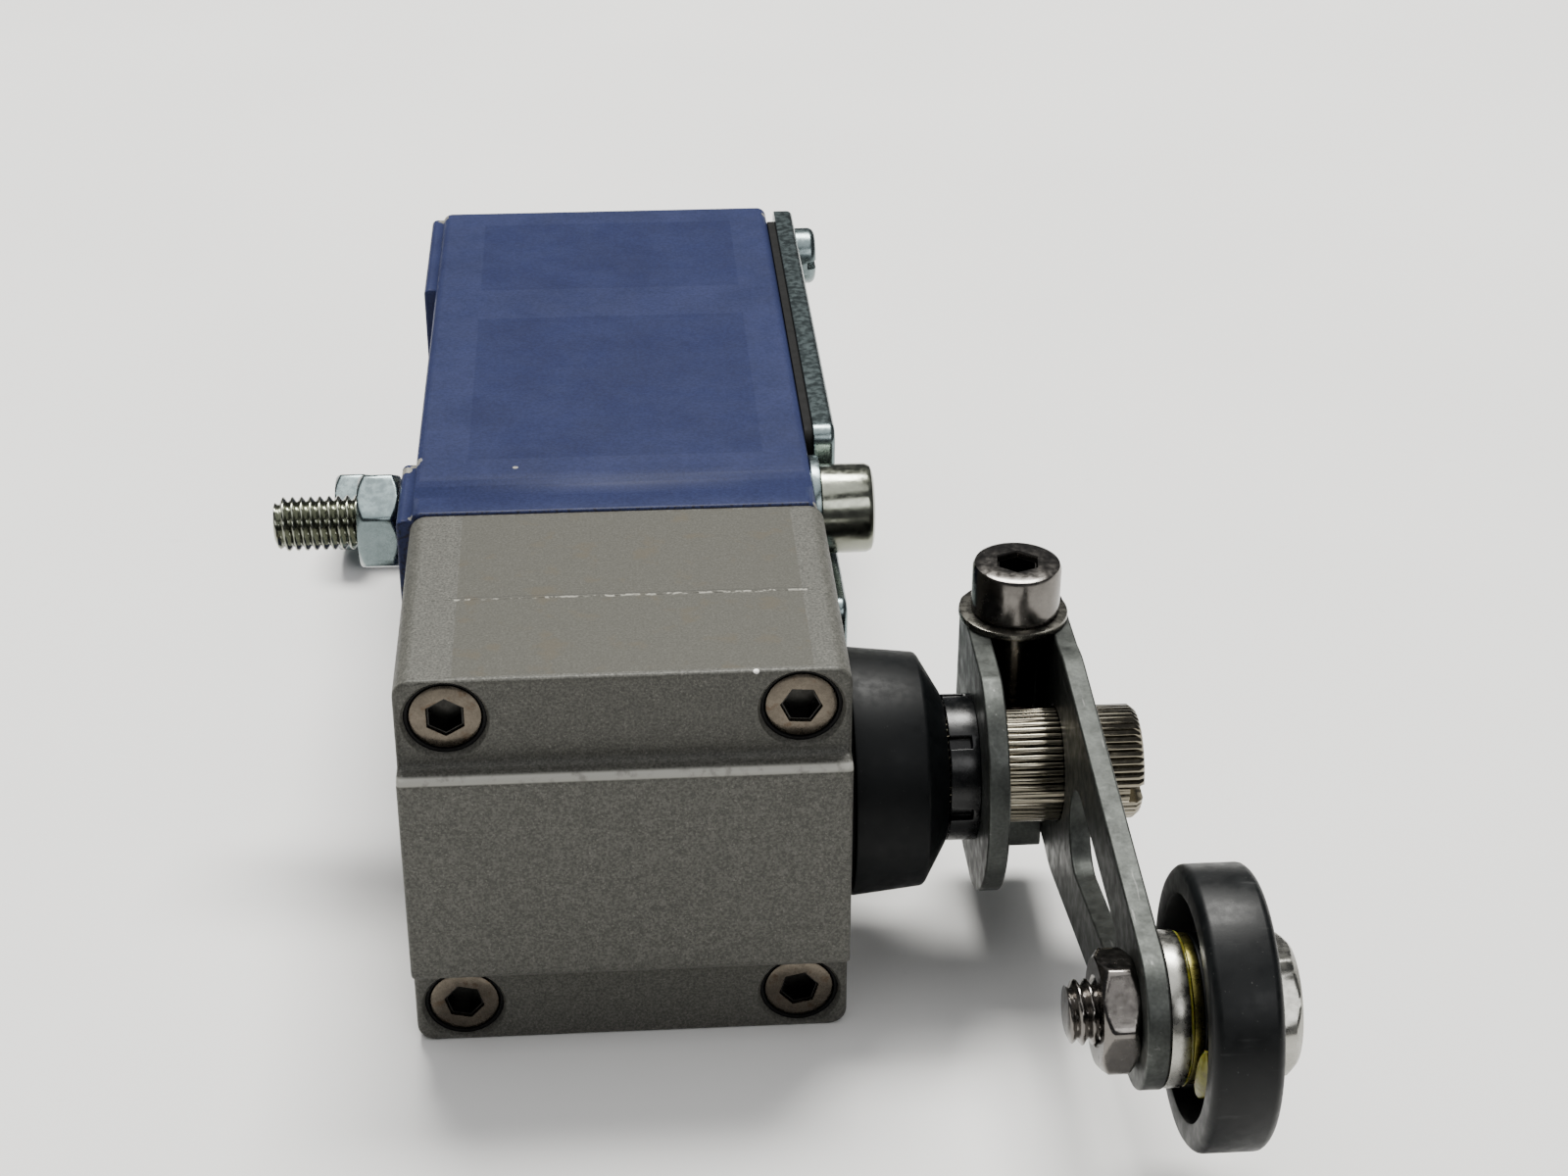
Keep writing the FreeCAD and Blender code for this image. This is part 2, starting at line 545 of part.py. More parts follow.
def clamp_screw():
    seat = Vector(CLAMP_X, CLAMP_Y, LEVER_TOP + 1.0)
    return cap_screw(head_radius=CLAMP_HEAD_RADIUS, head_length=CLAMP_HEAD_LENGTH,
                     shank_radius=CLAMP_RADIUS, shank_length=27.0,
                     socket=4.0, seat=seat, direction=ALONG_Z * -1)


def clamp_nut():
    x = (CHEEK_X + SHEET, ARM_X)
    nut = block(x, (CLAMP_Y - 4.2, CLAMP_Y + 3.0), (-14.3, -9.4))
    nut = rounded(nut, 0.5, edges_along(nut, ALONG_X))
    nut = nut.cut(rod_x(SHAFT_RADIUS + 0.1, (50, 80), SHAFT_Y, 0))
    return nut.cut(rod_z(CLAMP_RADIUS, (-20, 0), CLAMP_X, CLAMP_Y))


def axle_bolt():
    head = hexagon(12.0, 2.5, Vector(80.3, ROLLER_Y, ROLLER_RISE), ALONG_X, 20)
    head = head.common(Part.makeSphere(8.4, Vector(77.0, ROLLER_Y, ROLLER_RISE)))
    shoulder = rod_x(AXLE_SHOULDER_RADIUS, (72.5, 80.3), ROLLER_Y, ROLLER_RISE)
    thread = rod_x(AXLE_RADIUS, (62.4, 72.5), ROLLER_Y, ROLLER_RISE)
    return head.fuse(shoulder).fuse(thread).removeSplitter()


def axle_nut():
    nut = hexagon(10.0, 4.2, Vector(ARM_X - 4.2, ROLLER_Y, ROLLER_RISE), ALONG_X, 14)
    nut = nut.common(Part.makeSphere(7.2, Vector(ARM_X - 1.6, ROLLER_Y, ROLLER_RISE)))
    return nut.cut(rod_x(AXLE_RADIUS, (50, 80), ROLLER_Y, ROLLER_RISE))


def axle_spacer():
    return tube_x(7.1, AXLE_RADIUS, (ARM_X + SHEET, 72.5), ROLLER_Y, ROLLER_RISE)


def roller():
    low_x, high_x = ROLLER_X
    wheel = rod_x(ROLLER_RADIUS, ROLLER_X, ROLLER_Y, ROLLER_RISE)
    rims = [e for e in wheel.Edges if isinstance(e.Curve, Part.Circle)]
    wheel = rounded(wheel, 0.6, rims)
    wheel = wheel.cut(rod_x(10.3, (low_x - 1, low_x + 3.4), ROLLER_Y, ROLLER_RISE))
    wheel = wheel.fuse(rod_x(HUB_RADIUS, (73.7, HUB_END_X), ROLLER_Y, ROLLER_RISE)).removeSplitter()
    return wheel.cut(rod_x(BUSH_RADIUS, (70, 90), ROLLER_Y, ROLLER_RISE))


def roller_bush():
    bush = rod_x(BUSH_RADIUS, (72.8, HUB_END_X), ROLLER_Y, ROLLER_RISE)
    bush = bush.fuse(rod_x(HUB_RADIUS, (72.8, 73.7), ROLLER_Y, ROLLER_RISE)).removeSplitter()
    return bush.cut(rod_x(AXLE_SHOULDER_RADIUS + RUNNING_GAP, (70, 90), ROLLER_Y, ROLLER_RISE))


# ---------------------------------------------------------------- pusher and contacts

def pusher():
    tip_y = SHAFT_Y + CAM_BASE_RADIUS + FOLLOWER_GAP
    tip = rod_y(PUSHER_TIP_RADIUS, (tip_y + 2.0, -47.0), CENTRE_X, 0)
    nose = Part.makeCylinder(2.0, 5.6, Vector(CENTRE_X - 2.8, tip_y + 2.0, 0), ALONG_X)
    nose = nose.common(rod_y(PUSHER_TIP_RADIUS, (tip_y - 1, tip_y + 9), CENTRE_X, 0))
    stem = rod_y(PUSHER_RADIUS, (-47.5, PUSHER_END_Y), CENTRE_X, 0)
    return tip.fuse(nose).fuse(stem).removeSplitter()


def bridge_x():
    return CENTRE_X - BRIDGE_HALF_X, CENTRE_X + BRIDGE_HALF_X


def contact_plunger():
    """Plastic plunger and carrier of the moving contact, with a blind hole for its spring."""
    rod = rod_y(PLUNGER_RADIUS, (PUSHER_END_Y + 0.3, -14.0), CENTRE_X, 0)
    carrier = block((CENTRE_X - 4, CENTRE_X + 4), (-14.5, 10.0), (-4.0, 4.0))
    plunger = rod.fuse(carrier).removeSplitter()
    plunger = plunger.cut(rod_y(3.0, (-2.5, 11.0), CENTRE_X, 0))
    return plunger.cut(block(bridge_x(), BRIDGE_Y, (-9, 9)))


def contact_bridge():
    """Spring metal bridge held in the carrier's slot, bent out to the two contact pairs."""
    strip = block(bridge_x(), BRIDGE_Y, (-4.6, 4.6))
    for side in (-1, 1):
        ends = sorted((side * 4.1, side * BRIDGE_HALF_Z))
        rise = sorted((side * 4.1, side * 5.1))
        strip = strip.fuse(block(bridge_x(), (BRIDGE_Y[0], 0.5), rise))
        strip = strip.fuse(block(bridge_x(), (-0.5, 0.5), ends))
    return strip.removeSplitter()


def contact_spring():
    return coil(Vector(CENTRE_X, 2.9, 0), ALONG_Y, radius=2.3, wire=0.6, pitch=1.9, turns=7.4)


def fixed_contacts():
    """Contact strips that end in a tab under each terminal screw."""
    strips = []
    for (low_y, high_y), way in TERMINALS:
        root_y = low_y if way > 0 else high_y
        tab_y = sorted((root_y, root_y + way * TAB_LENGTH))
        for side in (-1, 1):
            reach = sorted((side * 5.4, side * 13.5))
            strip = block((CENTRE_X - BRIDGE_HALF_X, TAB_X[1]), (low_y, high_y), reach)
            strip = strip.cut(block((25.9, 30), (low_y - 1, high_y + 1), sorted((0, side * 9.4))))
            tab = block(TAB_X, tab_y, sorted((side * 9.4, side * 13.5)))
            tab = tab.cut(rod_x(TERMINAL_SCREW_RADIUS, (20, 40), *terminal_spot(low_y, high_y, way, side)))
            strips.append(strip.fuse(tab).removeSplitter())
    return group(strips)


def terminal_spot(low_y, high_y, way, side):
    return ((low_y + high_y) / 2 + way * 4.0, side * TERMINAL_Z)


def terminal_spots():
    return [terminal_spot(y[0], y[1], way, side) for y, way in TERMINALS for side in (-1, 1)]


def terminal_clamps():
    plates = []
    for y, z in terminal_spots():
        plate = block((TAB_X[1], TAB_X[1] + 1.0), (y - 2.6, y + 2.6), (z - 2.1, z + 2.1))
        plates.append(plate.cut(rod_x(TERMINAL_SCREW_RADIUS, (20, 40), y, z)))
    return group(plates)


def terminal_screws():
    sizes = {"head_radius": 2.6, "head_length": 2.2, "shank_radius": TERMINAL_SCREW_RADIUS,
             "shank_length": 7.0}
    return group([pan_screw(seat=Vector(TAB_X[1] + 1.0, y, z), **sizes) for y, z in terminal_spots()])


def block_screw_spots():
    return [(-17.5, -10.8), (17.5, 10.8)]


def contact_block():
    body = block(BLOCK_X, (-BLOCK_HALF_Y, BLOCK_HALF_Y), (-BLOCK_HALF_Z, BLOCK_HALF_Z))
    body = rounded(body, 0.8, edges_along(body, ALONG_X))
    body = body.cut(block((11.0, 40), (-17.5, 17.5), (-CHAMBER_HALF_Z, CHAMBER_HALF_Z)))
    for side in (-1, 1):
        pocket_z = sorted((side * TERMINAL_WALL_Z, side * 20))
        body = body.cut(block((20.5, 40), (-10.5, 1.2), pocket_z))
        body = body.cut(block((20.5, 40), (2.4, 14.0), pocket_z))
        slot_z = sorted((side * 6, side * 10))
        for low_y, high_y in (NC_STRIP_Y, NO_STRIP_Y):
            body = body.cut(block((CENTRE_X - BRIDGE_HALF_X, 40), (low_y, high_y), slot_z))
    for y, z in terminal_spots():
        body = body.cut(rod_x(2.0, (19.0, 40), y, z))
    body = body.cut(rod_y(PLUNGER_RADIUS + RUNNING_GAP, (-30, 0), CENTRE_X, 0))
    for y, z in block_screw_spots():
        body = body.cut(rod_x(1.8, (0, 40), y, z))
        body = body.cut(rod_x(3.2, (12.0, 40), y, z))
    return body


def block_cover():
    lid = block((BLOCK_X[1], BLOCK_X[1] + 1.2), (-19.0, 19.0), (-8.6, 8.6))
    return rounded(lid, 0.8, edges_along(lid, ALONG_X))


def block_screws():
    sizes = {"head_radius": 2.9, "head_length": 2.2, "shank_radius": BLOCK_SCREW_RADIUS,
             "shank_length": 9.0}
    return group([pan_screw(seat=Vector(12.0, y, z), **sizes) for y, z in block_screw_spots()])


def earth_washer():
    return tube_x(4.0, 2.0, (EARTH_BOSS_X, EARTH_BOSS_X + 0.8), *EARTH_SPOT)


def earth_screw():
    return pan_screw(head_radius=3.6, head_length=2.6, shank_radius=M4_CORE_RADIUS, shank_length=7.5,
                     seat=Vector(EARTH_BOSS_X + 0.8, *EARTH_SPOT))


# ---------------------------------------------------------------- export

NODES = {
    "body_housing": body_housing,
    "cover_gasket": cover_gasket,
    "cover_plate": cover_plate,
    "cover_screws": cover_screws,
    "mounting_washers": mounting_washers,
    "mounting_bolts": mounting_bolts,
    "mounting_nuts": mounting_nuts,
    "head_casing": head_casing,
    "head_gasket": head_gasket,
    "head_screws": head_screws,
    "back_patch": back_patch,
    "bearing_bush": bearing_bush,
    "shaft_seal": shaft_seal,
    "rear_bush": rear_bush,
    "boot": boot,
    "pusher_seal": pusher_seal,
    "return_spring": return_spring,
    "shaft": shaft,
    "drive_pin": drive_pin,
    "circlip": circlip,
    "index_ring": index_ring,
    "cam": cam,
    "lever_arm": lever_arm,
    "clamp_washer": clamp_washer,
    "clamp_screw": clamp_screw,
    "clamp_nut": clamp_nut,
    "axle_bolt": axle_bolt,
    "axle_nut": axle_nut,
    "axle_spacer": axle_spacer,
    "roller": roller,
    "roller_bush": roller_bush,
    "pusher": pusher,
    "contact_plunger": contact_plunger,
    "contact_bridge": contact_bridge,
    "contact_spring": contact_spring,
    "fixed_contacts": fixed_contacts,
    "terminal_clamps": terminal_clamps,
    "terminal_screws": terminal_screws,
    "contact_block": contact_block,
    "block_cover": block_cover,
    "block_screws": block_screws,
    "earth_washer": earth_washer,
    "earth_screw": earth_screw,
}

os.makedirs("parts", exist_ok=True)
for node_name, make in NODES.items():
    save(node_name, make())
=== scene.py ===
"""Looks of a limit switch with a rotary head and a clamped roller lever.

Lengths are millimetres here, and become metres where a mesh, a light or the camera is made.
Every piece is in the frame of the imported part: X across, Y along the body, Z up.
"""
import json
import math
import random

import bmesh
import bpy
from mathutils import Matrix, Vector, noise


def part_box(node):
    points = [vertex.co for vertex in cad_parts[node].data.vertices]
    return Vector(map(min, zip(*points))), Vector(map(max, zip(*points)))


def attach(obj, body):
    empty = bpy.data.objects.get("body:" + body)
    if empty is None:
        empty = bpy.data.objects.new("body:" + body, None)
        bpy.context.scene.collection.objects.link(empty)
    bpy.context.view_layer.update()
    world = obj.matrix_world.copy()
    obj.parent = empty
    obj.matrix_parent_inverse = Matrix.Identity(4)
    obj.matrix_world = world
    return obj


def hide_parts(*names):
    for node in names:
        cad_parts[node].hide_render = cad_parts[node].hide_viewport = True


random.seed(11)
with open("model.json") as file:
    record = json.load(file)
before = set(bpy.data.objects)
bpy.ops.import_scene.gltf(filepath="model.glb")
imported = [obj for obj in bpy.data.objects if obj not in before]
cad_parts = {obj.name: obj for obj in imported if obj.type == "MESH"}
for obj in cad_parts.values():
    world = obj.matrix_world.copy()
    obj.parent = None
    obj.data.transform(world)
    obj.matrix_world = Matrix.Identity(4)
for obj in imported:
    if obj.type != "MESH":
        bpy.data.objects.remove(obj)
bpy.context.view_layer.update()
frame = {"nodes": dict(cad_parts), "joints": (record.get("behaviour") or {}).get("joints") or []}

MM = 0.001
HALF_HEIGHT = 21.5
HEAD_TOP_X = (1.5, 45.5)
BODY_Y = (-41.0, 46.0)
HEAD_Y = (-75.3, -41.3)
PAD_Y = -77.9
BOLT_SPOTS = ((-30.0, 15.0), (30.0, -15.0))
HEAD_SCREW_SPOTS = tuple((x, z) for x in (6.4, 40.6) for z in (-17.1, 17.1))
M4_CORE = 1.65
# The shallow groove across the body near the head, as (y, depth below the broad face).
COVE = ((-31.7, -1.0), (-31.7, -0.01), (-32.3, 0.02), (-32.9, 0.08), (-33.5, 0.19),
        (-34.1, 0.33), (-34.7, 0.46), (-35.3, 0.54), (-35.9, 0.54), (-36.4, 0.46),
        (-36.8, 0.34), (-37.1, 0.2), (-37.35, -0.02), (-37.35, -1.0))
RING_STEPS = 96
ROD_STEPS = 64
SHARP_ANGLE = math.radians(38)
ROUNDING_ANGLE = math.radians(35)
BOX_EDGE_ANGLE = math.radians(50)
FLAT_ANGLE = math.radians(0.6)
JOIN_DISTANCE = 0.002 * MM


def joint_point(name):
    """Place of a joint's axis, in millimetres."""
    for joint in frame["joints"]:
        if joint["name"] == name:
            return [value / MM for value in joint["pos_m"]]
    raise ValueError(name)


SHAFT = joint_point("lever_trip")
AXLE = joint_point("roller_spin")


def low_high(node):
    """Lowest and highest corner of a CAD node, in millimetres."""
    low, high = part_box(node)
    return low / MM, high / MM


# ---------------------------------------------------------------- materials

class Finish:
    """A material whose colour, gloss and relief come from noise in the object's own coordinates."""

    def __init__(self, name, colour, metallic, roughness):
        self.material = bpy.data.materials.new(name)
        self.material.use_nodes = True
        self.tree = self.material.node_tree
        self.shader = self.tree.nodes["Principled BSDF"]
        self.shader.inputs["Metallic"].default_value = metallic
        self.coords = self.tree.nodes.new("ShaderNodeTexCoord").outputs["Object"]
        self.metallic = metallic
        self.metallic_link = None
        self.colour = self.rgb(colour)
        self.roughness = self.number(roughness)
        self.normal = None

    def rgb(self, colour):
        node = self.tree.nodes.new("ShaderNodeRGB")
        node.outputs[0].default_value = (*colour, 1.0)
        return node.outputs[0]

    def number(self, value):
        node = self.tree.nodes.new("ShaderNodeValue")
        node.outputs[0].default_value = value
        return node.outputs[0]

    def link(self, source, target):
        self.tree.links.new(source, target)

    def noise(self, per_mm, detail=3.0, stretch=(1, 1, 1)):
        """Noise from 0 to 1 with about per_mm features in a millimetre."""
        mapping = self.tree.nodes.new("ShaderNodeMapping")
        mapping.inputs["Scale"].default_value = [s * per_mm / MM for s in stretch]
        self.link(self.coords, mapping.inputs["Vector"])
        node = self.tree.nodes.new("ShaderNodeTexNoise")
        node.inputs["Scale"].default_value = 1.0
        node.inputs["Detail"].default_value = detail
        node.inputs["Roughness"].default_value = 0.55
        self.link(mapping.outputs["Vector"], node.inputs["Vector"])
        return node.outputs["Fac"]

    def span(self, value, low, high, to_low=0.0, to_high=1.0):
        """Value stretched from low..high to to_low..to_high, held at both ends."""
        node = self.tree.nodes.new("ShaderNodeMapRange")
        node.interpolation_type = "SMOOTHSTEP"
        self.link(value, node.inputs["Value"])
        ends = {"From Min": low, "From Max": high, "To Min": to_low, "To Max": to_high}
        for key, number in ends.items():
            node.inputs[key].default_value = number
        return node.outputs["Result"]

    def maths(self, operation, a, b):
        node = self.tree.nodes.new("ShaderNodeMath")
        node.operation = operation
        for socket, value in zip(node.inputs, (a, b)):
            if isinstance(value, (int, float)):
                socket.default_value = value
            else:
                self.link(value, socket)
        return node.outputs[0]

    def times(self, a, b):
        return self.maths("MULTIPLY", a, b)

    def axis(self, letter):
        """One object coordinate in millimetres."""
        node = self.tree.nodes.new("ShaderNodeSeparateXYZ")
        self.link(self.coords, node.inputs[0])
        return self.times(node.outputs[letter], 1 / MM)

    def near(self, place, radius, ragged=0.5, per_mm=1.2):
        """Mask that is 1 within about radius of a place, with a ragged edge."""
        node = self.tree.nodes.new("ShaderNodeVectorMath")
        node.operation = "DISTANCE"
        self.link(self.coords, node.inputs[0])
        node.inputs[1].default_value = [p * MM for p in place]
        away = self.times(node.outputs["Value"], 1 / MM)
        wobble = self.times(self.noise(per_mm), ragged * radius * 2)
        edge = self.maths("ADD", away, wobble)
        limit, soft = radius * (1 + ragged), 0.06
        return self.span(edge, limit - soft, limit + soft, 1.0, 0.0)

    def mix_colour(self, mask, colour):
        node = self.tree.nodes.new("ShaderNodeMix")
        node.data_type = "RGBA"
        self.link(mask, node.inputs["Factor"])
        self.link(self.colour, node.inputs[6])
        node.inputs[7].default_value = (*colour, 1.0)
        self.colour = node.outputs[2]

    def mix_roughness(self, mask, value):
        node = self.tree.nodes.new("ShaderNodeMix")
        self.link(mask, node.inputs["Factor"])
        self.link(self.roughness, node.inputs[2])
        node.inputs[3].default_value = value
        self.roughness = node.outputs[0]

    def mix_metal(self, mask, value):
        node = self.tree.nodes.new("ShaderNodeMix")
        self.link(mask, node.inputs["Factor"])
        if self.metallic_link:
            self.link(self.metallic_link, node.inputs[2])
        else:
            node.inputs[2].default_value = self.metallic
        node.inputs[3].default_value = value
        self.metallic_link = node.outputs[0]

    def mottle(self, per_mm, amount, detail=3.0):
        """Lightens and darkens the colour by amount."""
        factor = self.span(self.noise(per_mm, detail), 0.3, 0.7, 1 - amount, 1 + amount)
        node = self.tree.nodes.new("ShaderNodeVectorMath")
        node.operation = "SCALE"
        self.link(self.colour, node.inputs[0])
        self.link(factor, node.inputs["Scale"])
        self.colour = node.outputs[0]

    def gloss_change(self, per_mm, amount):
        shift = self.span(self.noise(per_mm, 4.0), 0.3, 0.7, -amount, amount)
        self.roughness = self.maths("ADD", self.roughness, shift)

    def bump(self, height, depth):
        """Relief of that depth, in millimetres, from a height of 0 to 1."""
        node = self.tree.nodes.new("ShaderNodeBump")
        node.inputs["Strength"].default_value = 1.0
        node.inputs["Distance"].default_value = depth * MM
        self.link(height, node.inputs["Height"])
        if self.normal:
            self.link(self.normal, node.inputs["Normal"])
        self.normal = node.outputs["Normal"]

    def scratches(self, per_mm, stretch, amount, colour):
        """Thin lines along the axis with the small stretch."""
        lines = self.span(self.noise(per_mm, 2.0, stretch), 0.66, 0.72, 0.0, amount)
        self.mix_colour(lines, colour)
        self.bump(lines, -0.002)

    def done(self):
        self.link(self.colour, self.shader.inputs["Base Color"])
        self.link(self.roughness, self.shader.inputs["Roughness"])
        if self.metallic_link:
            self.link(self.metallic_link, self.shader.inputs["Metallic"])
        if self.normal:
            self.link(self.normal, self.shader.inputs["Normal"])
        return self.material


def band(finish, value, low, high, soft=0.15):
    """Mask that is 1 where a value in millimetres lies from low to high."""
    rise = finish.span(value, low - soft, low + soft)
    fall = finish.span(value, high - soft, high + soft, 1.0, 0.0)
    return finish.times(rise, fall)


def between(finish, letter, low, high, soft=0.15):
    return band(finish, finish.axis(letter), low, high, soft)


def top_area(finish, x_range, y_range):
    """Mask over a rectangle of the upper face."""
    area = finish.times(between(finish, "X", *x_range, 0.1), between(finish, "Y", *y_range, 0.1))
    upper = finish.span(finish.axis("Z"), HALF_HEIGHT - 0.3, HALF_HEIGHT - 0.1)
    return finish.times(area, upper)


def silver_paint():
    """Speckled paint of the head, with the film a label left, a chipped seam, and a painted highlight
    with some real wear along the pad's upper bevel.
    """
    finish = Finish("silver_paint", (0.074, 0.073, 0.064), 0.1, 0.52)
    finish.shader.inputs["Specular IOR Level"].default_value = 0.25
    finish.mottle(4.0, 0.34, 2.0)
    finish.mottle(1.2, 0.08, 2.0)
    finish.mix_colour(finish.span(finish.noise(5.0, 1.0), 0.64, 0.74, 0.0, 0.5), (0.2, 0.195, 0.17))
    finish.mix_colour(finish.span(finish.noise(4.4, 1.0), 0.66, 0.76, 0.0, 0.5), (0.03, 0.03, 0.026))
    finish.gloss_change(3.0, 0.1)
    finish.bump(finish.noise(3.0, 3.0), 0.02)
    residue = top_area(finish, (7.2, 41.8), (-74.6, -41.9))
    finish.mix_colour(finish.times(residue, 0.6), (0.05, 0.048, 0.038))
    finish.mix_roughness(residue, 0.58)
    stain = finish.times(residue, finish.span(finish.noise(0.28, 3.0), 0.54, 0.68, 0.0, 0.5))
    finish.mix_colour(stain, (0.07, 0.058, 0.038))
    wander = finish.times(finish.noise(0.5, 3.0, (1, 0.0, 0.0)), 0.9)
    along = finish.maths("ADD", finish.axis("Y"), wander)
    seam = top_area(finish, (6.4, 42.6), (-62.0, -57.0))
    dark = finish.times(seam, band(finish, along, -58.92, -58.8, 0.08))
    finish.mix_colour(finish.times(dark, 0.75), (0.03, 0.03, 0.026))
    crumbs = finish.times(seam, band(finish, along, -59.4, -59.1, 0.1))
    crumbs = finish.times(crumbs, finish.span(finish.noise(1.1, 2.0), 0.46, 0.56))
    finish.mix_colour(finish.times(crumbs, 0.8), (0.33, 0.32, 0.28))
    # Painted highlight, partly real paint wear: lighter colour and lower roughness along the pad's
    # upper bevel.
    bevel_highlight_and_wear = finish.times(between(finish, "Y", -78.2, -76.9, 0.1), between(finish, "Z", 11.35, 12.0, 0.1))
    bevel_highlight_and_wear = finish.times(bevel_highlight_and_wear, finish.span(finish.noise(0.8), 0.3, 0.5, 0.55, 1.0))
    finish.mix_colour(bevel_highlight_and_wear, (0.36, 0.355, 0.32))
    finish.mix_roughness(bevel_highlight_and_wear, 0.3)
    for place, radius in (((36.2, -75.1, 21.4), 0.26), ((45.4, -70.0, 19.0), 0.2)):
        chip = finish.near(place, radius)
        finish.mix_colour(chip, (0.8, 0.79, 0.76))
        finish.mix_metal(chip, 0.2)
    # Darker patches over the head's front face, reaching into the corners above and below the pad.
    front_face_darkening = finish.times(between(finish, "Y", -75.6, -75.1, 0.2), finish.noise(1.5))
    finish.mix_colour(finish.times(front_face_darkening, 0.4), (0.03, 0.029, 0.025))
    edge = between(finish, "Y", -42.0, -41.3, 0.2)
    edge = finish.times(edge, finish.span(finish.noise(1.0), 0.4, 0.6))
    finish.mix_colour(finish.times(edge, 0.7), (0.04, 0.036, 0.028))
    return finish.done()


def blue_paint():
    """Paint of the body, with two slightly darker label areas and chips on its edges."""
    finish = Finish("blue_paint", (0.019, 0.0245, 0.066), 0.0, 0.45)
    finish.shader.inputs["Specular IOR Level"].default_value = 0.1
    finish.shader.inputs["Coat Weight"].default_value = 0.02
    finish.shader.inputs["Coat Roughness"].default_value = 0.2
    for y_range in ((-28.4, 10.3), (19.2, 41.3)):
        label = top_area(finish, (7.3, 39.8), y_range)
        finish.mix_colour(label, (0.0145, 0.0195, 0.058))
        finish.mix_roughness(finish.times(label, 0.6), 0.48)
    finish.mottle(0.1, 0.08, 2.0)
    finish.mottle(3.0, 0.14, 3.0)
    finish.gloss_change(0.3, 0.04)
    finish.bump(finish.noise(2.5, 2.0), 0.003)
    dust = finish.span(finish.noise(4.0, 1.0), 0.74, 0.8, 0.0, 0.3)
    finish.mix_colour(dust, (0.1, 0.105, 0.15))
    wear = between(finish, "Y", -41.2, -40.75, 0.08)
    wear = finish.times(wear, finish.span(finish.noise(2.2), 0.5, 0.6))
    finish.mix_colour(finish.times(wear, 0.8), (0.012, 0.012, 0.02))
    chips = (((1.6, -27.9, 21.2), 0.8), ((12.5, -30.6, 21.5), 0.3), ((1.7, -40.4, 20.6), 0.4),
             ((44.6, -40.5, 20.9), 0.4), ((0.4, -29.0, 20.3), 0.8), ((1.7, 45.4, 20.9), 0.9),
             ((44.7, 44.0, 21.1), 0.5), ((0.3, 22.5, -19.8), 0.9))
    for place, radius in chips:
        chip = finish.near(place, radius, 0.7, 1.6)
        finish.mix_colour(chip, (0.3, 0.29, 0.26))
        finish.mix_metal(chip, 0.6)
    return finish.done()


def plated(name, colour, roughness, grain=0.12, wear=None, relief=0.0015, lines=0.35):
    """Plated steel or brass: wear is a second colour in patches, lines the strength of scratches."""
    finish = Finish(name, colour, 1.0, roughness)
    finish.mottle(0.5, grain, 4.0)
    finish.mottle(4.0, grain * 0.5, 3.0)
    finish.gloss_change(1.2, 0.06)
    if lines:
        finish.scratches(0.9, (0.12, 2.2, 2.2), lines, [min(1.0, c * 1.35) for c in colour])
    if wear:
        finish.mix_colour(finish.span(finish.noise(0.9, 5.0), 0.56, 0.7, 0.0, 0.7), wear)
    finish.bump(finish.noise(5.0, 2.0), relief)
    return finish.done()


def lever_steel():
    finish = Finish("lever_steel", (0.05, 0.054, 0.05), 0.8, 0.48)
    finish.mottle(0.35, 0.22, 5.0)
    finish.mottle(3.0, 0.15, 4.0)
    finish.gloss_change(0.6, 0.1)
    finish.scratches(0.7, (2.0, 0.1, 2.4), 0.4, (0.17, 0.17, 0.165))
    finish.mix_colour(finish.span(finish.noise(0.5, 5.0), 0.58, 0.68, 0.0, 0.5), (0.035, 0.037, 0.036))
    finish.bump(finish.noise(2.5, 4.0), 0.004)
    return finish.done()


def moulded(name, colour, roughness, grain_depth=0.004, specks=0.0, scuffs=0.0, shine=0.5):
    """Rubber or moulded plastic with a fine grain."""
    finish = Finish(name, colour, 0.0, roughness)
    finish.shader.inputs["Specular IOR Level"].default_value = shine
    finish.mottle(0.4, 0.18, 3.0)
    finish.gloss_change(0.8, 0.06)
    finish.bump(finish.noise(5.0, 2.0), grain_depth)
    if specks:
        finish.mix_colour(finish.span(finish.noise(3.4, 1.0), 0.74, 0.8, 0.0, specks), (0.2, 0.2, 0.19))
    if scuffs:
        lines = finish.span(finish.noise(0.5, 4.0, (0.3, 2.0, 2.0)), 0.62, 0.74, 0.0, scuffs)
        finish.mix_colour(lines, (0.035, 0.036, 0.036))
        finish.mix_roughness(lines, 0.6)
    return finish.done()


def old_backing():
    """Dry, ragged remains of an adhesive backing."""
    finish = Finish("old_backing", (0.2, 0.16, 0.11), 0.0, 0.85)
    finish.mottle(0.7, 0.4, 5.0)
    finish.mix_colour(finish.span(finish.noise(0.8, 5.0), 0.5, 0.62, 0.0, 0.45), (0.36, 0.33, 0.27))
    finish.mix_colour(finish.span(finish.noise(1.9, 4.0), 0.56, 0.68, 0.0, 0.6), (0.09, 0.07, 0.05))
    finish.bump(finish.noise(1.8, 5.0), 0.15)
    return finish.done()


def grease():
    finish = Finish("grease", (0.125, 0.118, 0.008), 0.0, 0.34)
    finish.shader.inputs["Subsurface Weight"].default_value = 0.2
    finish.shader.inputs["Subsurface Scale"].default_value = 0.8 * MM
    finish.mottle(0.8, 0.35, 4.0)
    finish.mix_colour(finish.span(finish.noise(1.2, 3.0), 0.5, 0.7, 0.0, 0.6), (0.07, 0.068, 0.015))
    finish.bump(finish.noise(1.0, 3.0), 0.12)
    return finish.done()


def floor_paper():
    finish = Finish("floor_paper", (0.8, 0.795, 0.78), 0.0, 0.7)
    finish.mottle(0.01, 0.02, 2.0)
    finish.mix_colour(finish.span(finish.noise(0.3, 3.0), 0.7, 0.78, 0.0, 0.08), (0.5, 0.49, 0.46))
    finish.bump(finish.noise(0.05, 4.0), 0.25)
    return finish.done()


